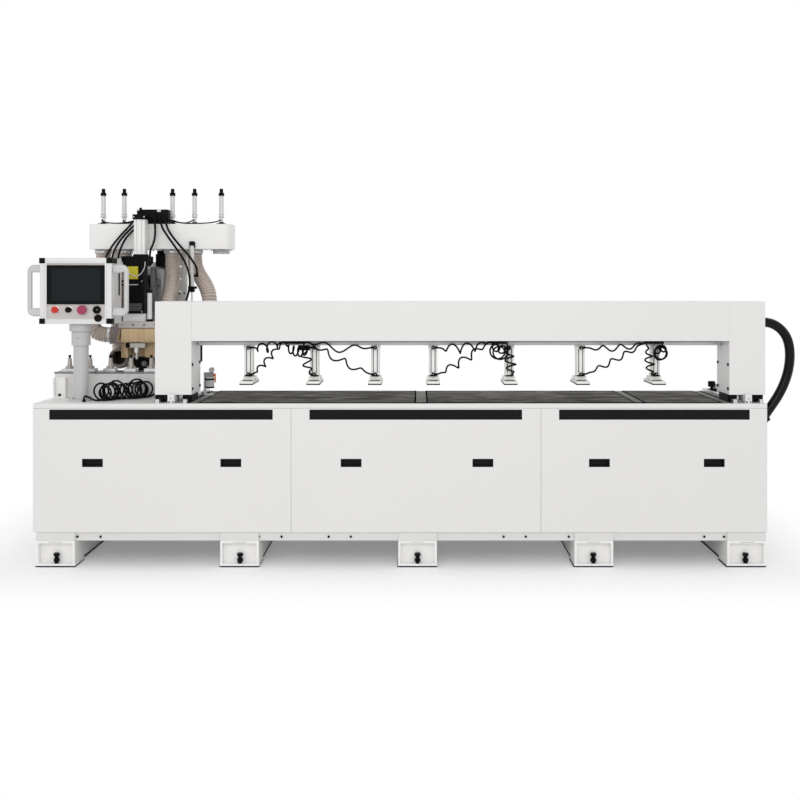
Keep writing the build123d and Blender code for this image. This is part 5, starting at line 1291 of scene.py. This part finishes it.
def make_world():
    world = bpy.data.worlds.new("studio")
    bpy.context.scene.world = world
    world.use_nodes = True
    tree = world.node_tree
    tree.nodes.clear()
    lit = add_node(tree, "Background", {"Color": SKY_COLOUR, "Strength": SKY_LIGHT})
    seen = add_node(tree, "Background", {"Color": WHITE, "Strength": 1.0})
    mix = add_node(tree, "MixShader", {0: seen_directly(tree), 1: lit, 2: seen})
    add_node(tree, "OutputWorld", {0: mix})


def soft_box(name, location, aim, size, power):
    data = bpy.data.lights.new(name, "AREA")
    data.shape = "RECTANGLE"
    data.size, data.size_y = size
    data.energy = power
    lamp = add_object(name, data)
    lamp.location = location
    direction = Vector(aim) - Vector(location)
    lamp.rotation_euler = direction.to_track_quat("-Z", "Y").to_euler()


def distance_from_machine(shade):
    """The distance on the floor from the rectangle that the machine stands on."""
    spot = shade.node("VectorMath", {0: shade.coords}, operation="ABSOLUTE")
    spot = shade.node("VectorMath", {0: spot, 1: (*SHADOW_BOX, 0)}, operation="SUBTRACT")
    spot = shade.node("VectorMath", {0: spot, 1: (0, 0, 0)}, operation="MAXIMUM")
    return shade.node("VectorMath", {0: spot}, "Value", operation="LENGTH")


def floor_material():
    """White floor that keeps the shadow near the machine and fades into the white backdrop."""
    shade = Shade("floor_white", FLOOR_COLOUR, 0.85).set("Specular IOR Level", 0.1)
    tree = shade.tree
    lit = tree.nodes["Principled BSDF"].outputs[0]
    glow = shade.node("Emission", {"Color": WHITE, "Strength": 1.0})
    share = shade.math("MULTIPLY", seen_directly(tree), SHADOW_LIFT)
    lifted = shade.node("MixShader", {0: share, 1: lit, 2: glow})
    near, far = SHADOW_FADE
    reach = {"Value": distance_from_machine(shade), "From Min": near, "From Max": far}
    fade = shade.node("MapRange", reach, interpolation_type="SMOOTHSTEP")
    clear = shade.node("BsdfTransparent", {})
    mix = shade.node("MixShader", {0: fade, 1: lifted, 2: clear})
    feed(tree, tree.nodes["Material Output"].inputs["Surface"], mix)
    return shade.material


def make_floor():
    mesh = bpy.data.meshes.new("floor")
    half = FLOOR_HALF
    corners = [(-half, -half, 0), (half, -half, 0), (half, half, 0), (-half, half, 0)]
    mesh.from_pydata(corners, [], [(0, 1, 2, 3)])
    floor = add_object("floor", mesh)
    mesh.materials.append(floor_material())


def make_studio():
    make_world()
    make_floor()
    soft_box("top_light", (0.0, -0.6, 5.2), (0, 0, 0.5), (7.0, 4.5), 12)
    soft_box("front_light", (-0.4, -6.5, 3.6), (0, 0, 0.9), (6.0, 2.5), 105)
    bpy.context.scene.view_settings.view_transform = "Standard"


make_camera()
make_cables()
make_clamp_hoses()
make_coil()
make_dust_hoses()
make_studio()
dress_base()
dress_panel()
dress_bridge()
dress_head()
make_brushes()
make_details()
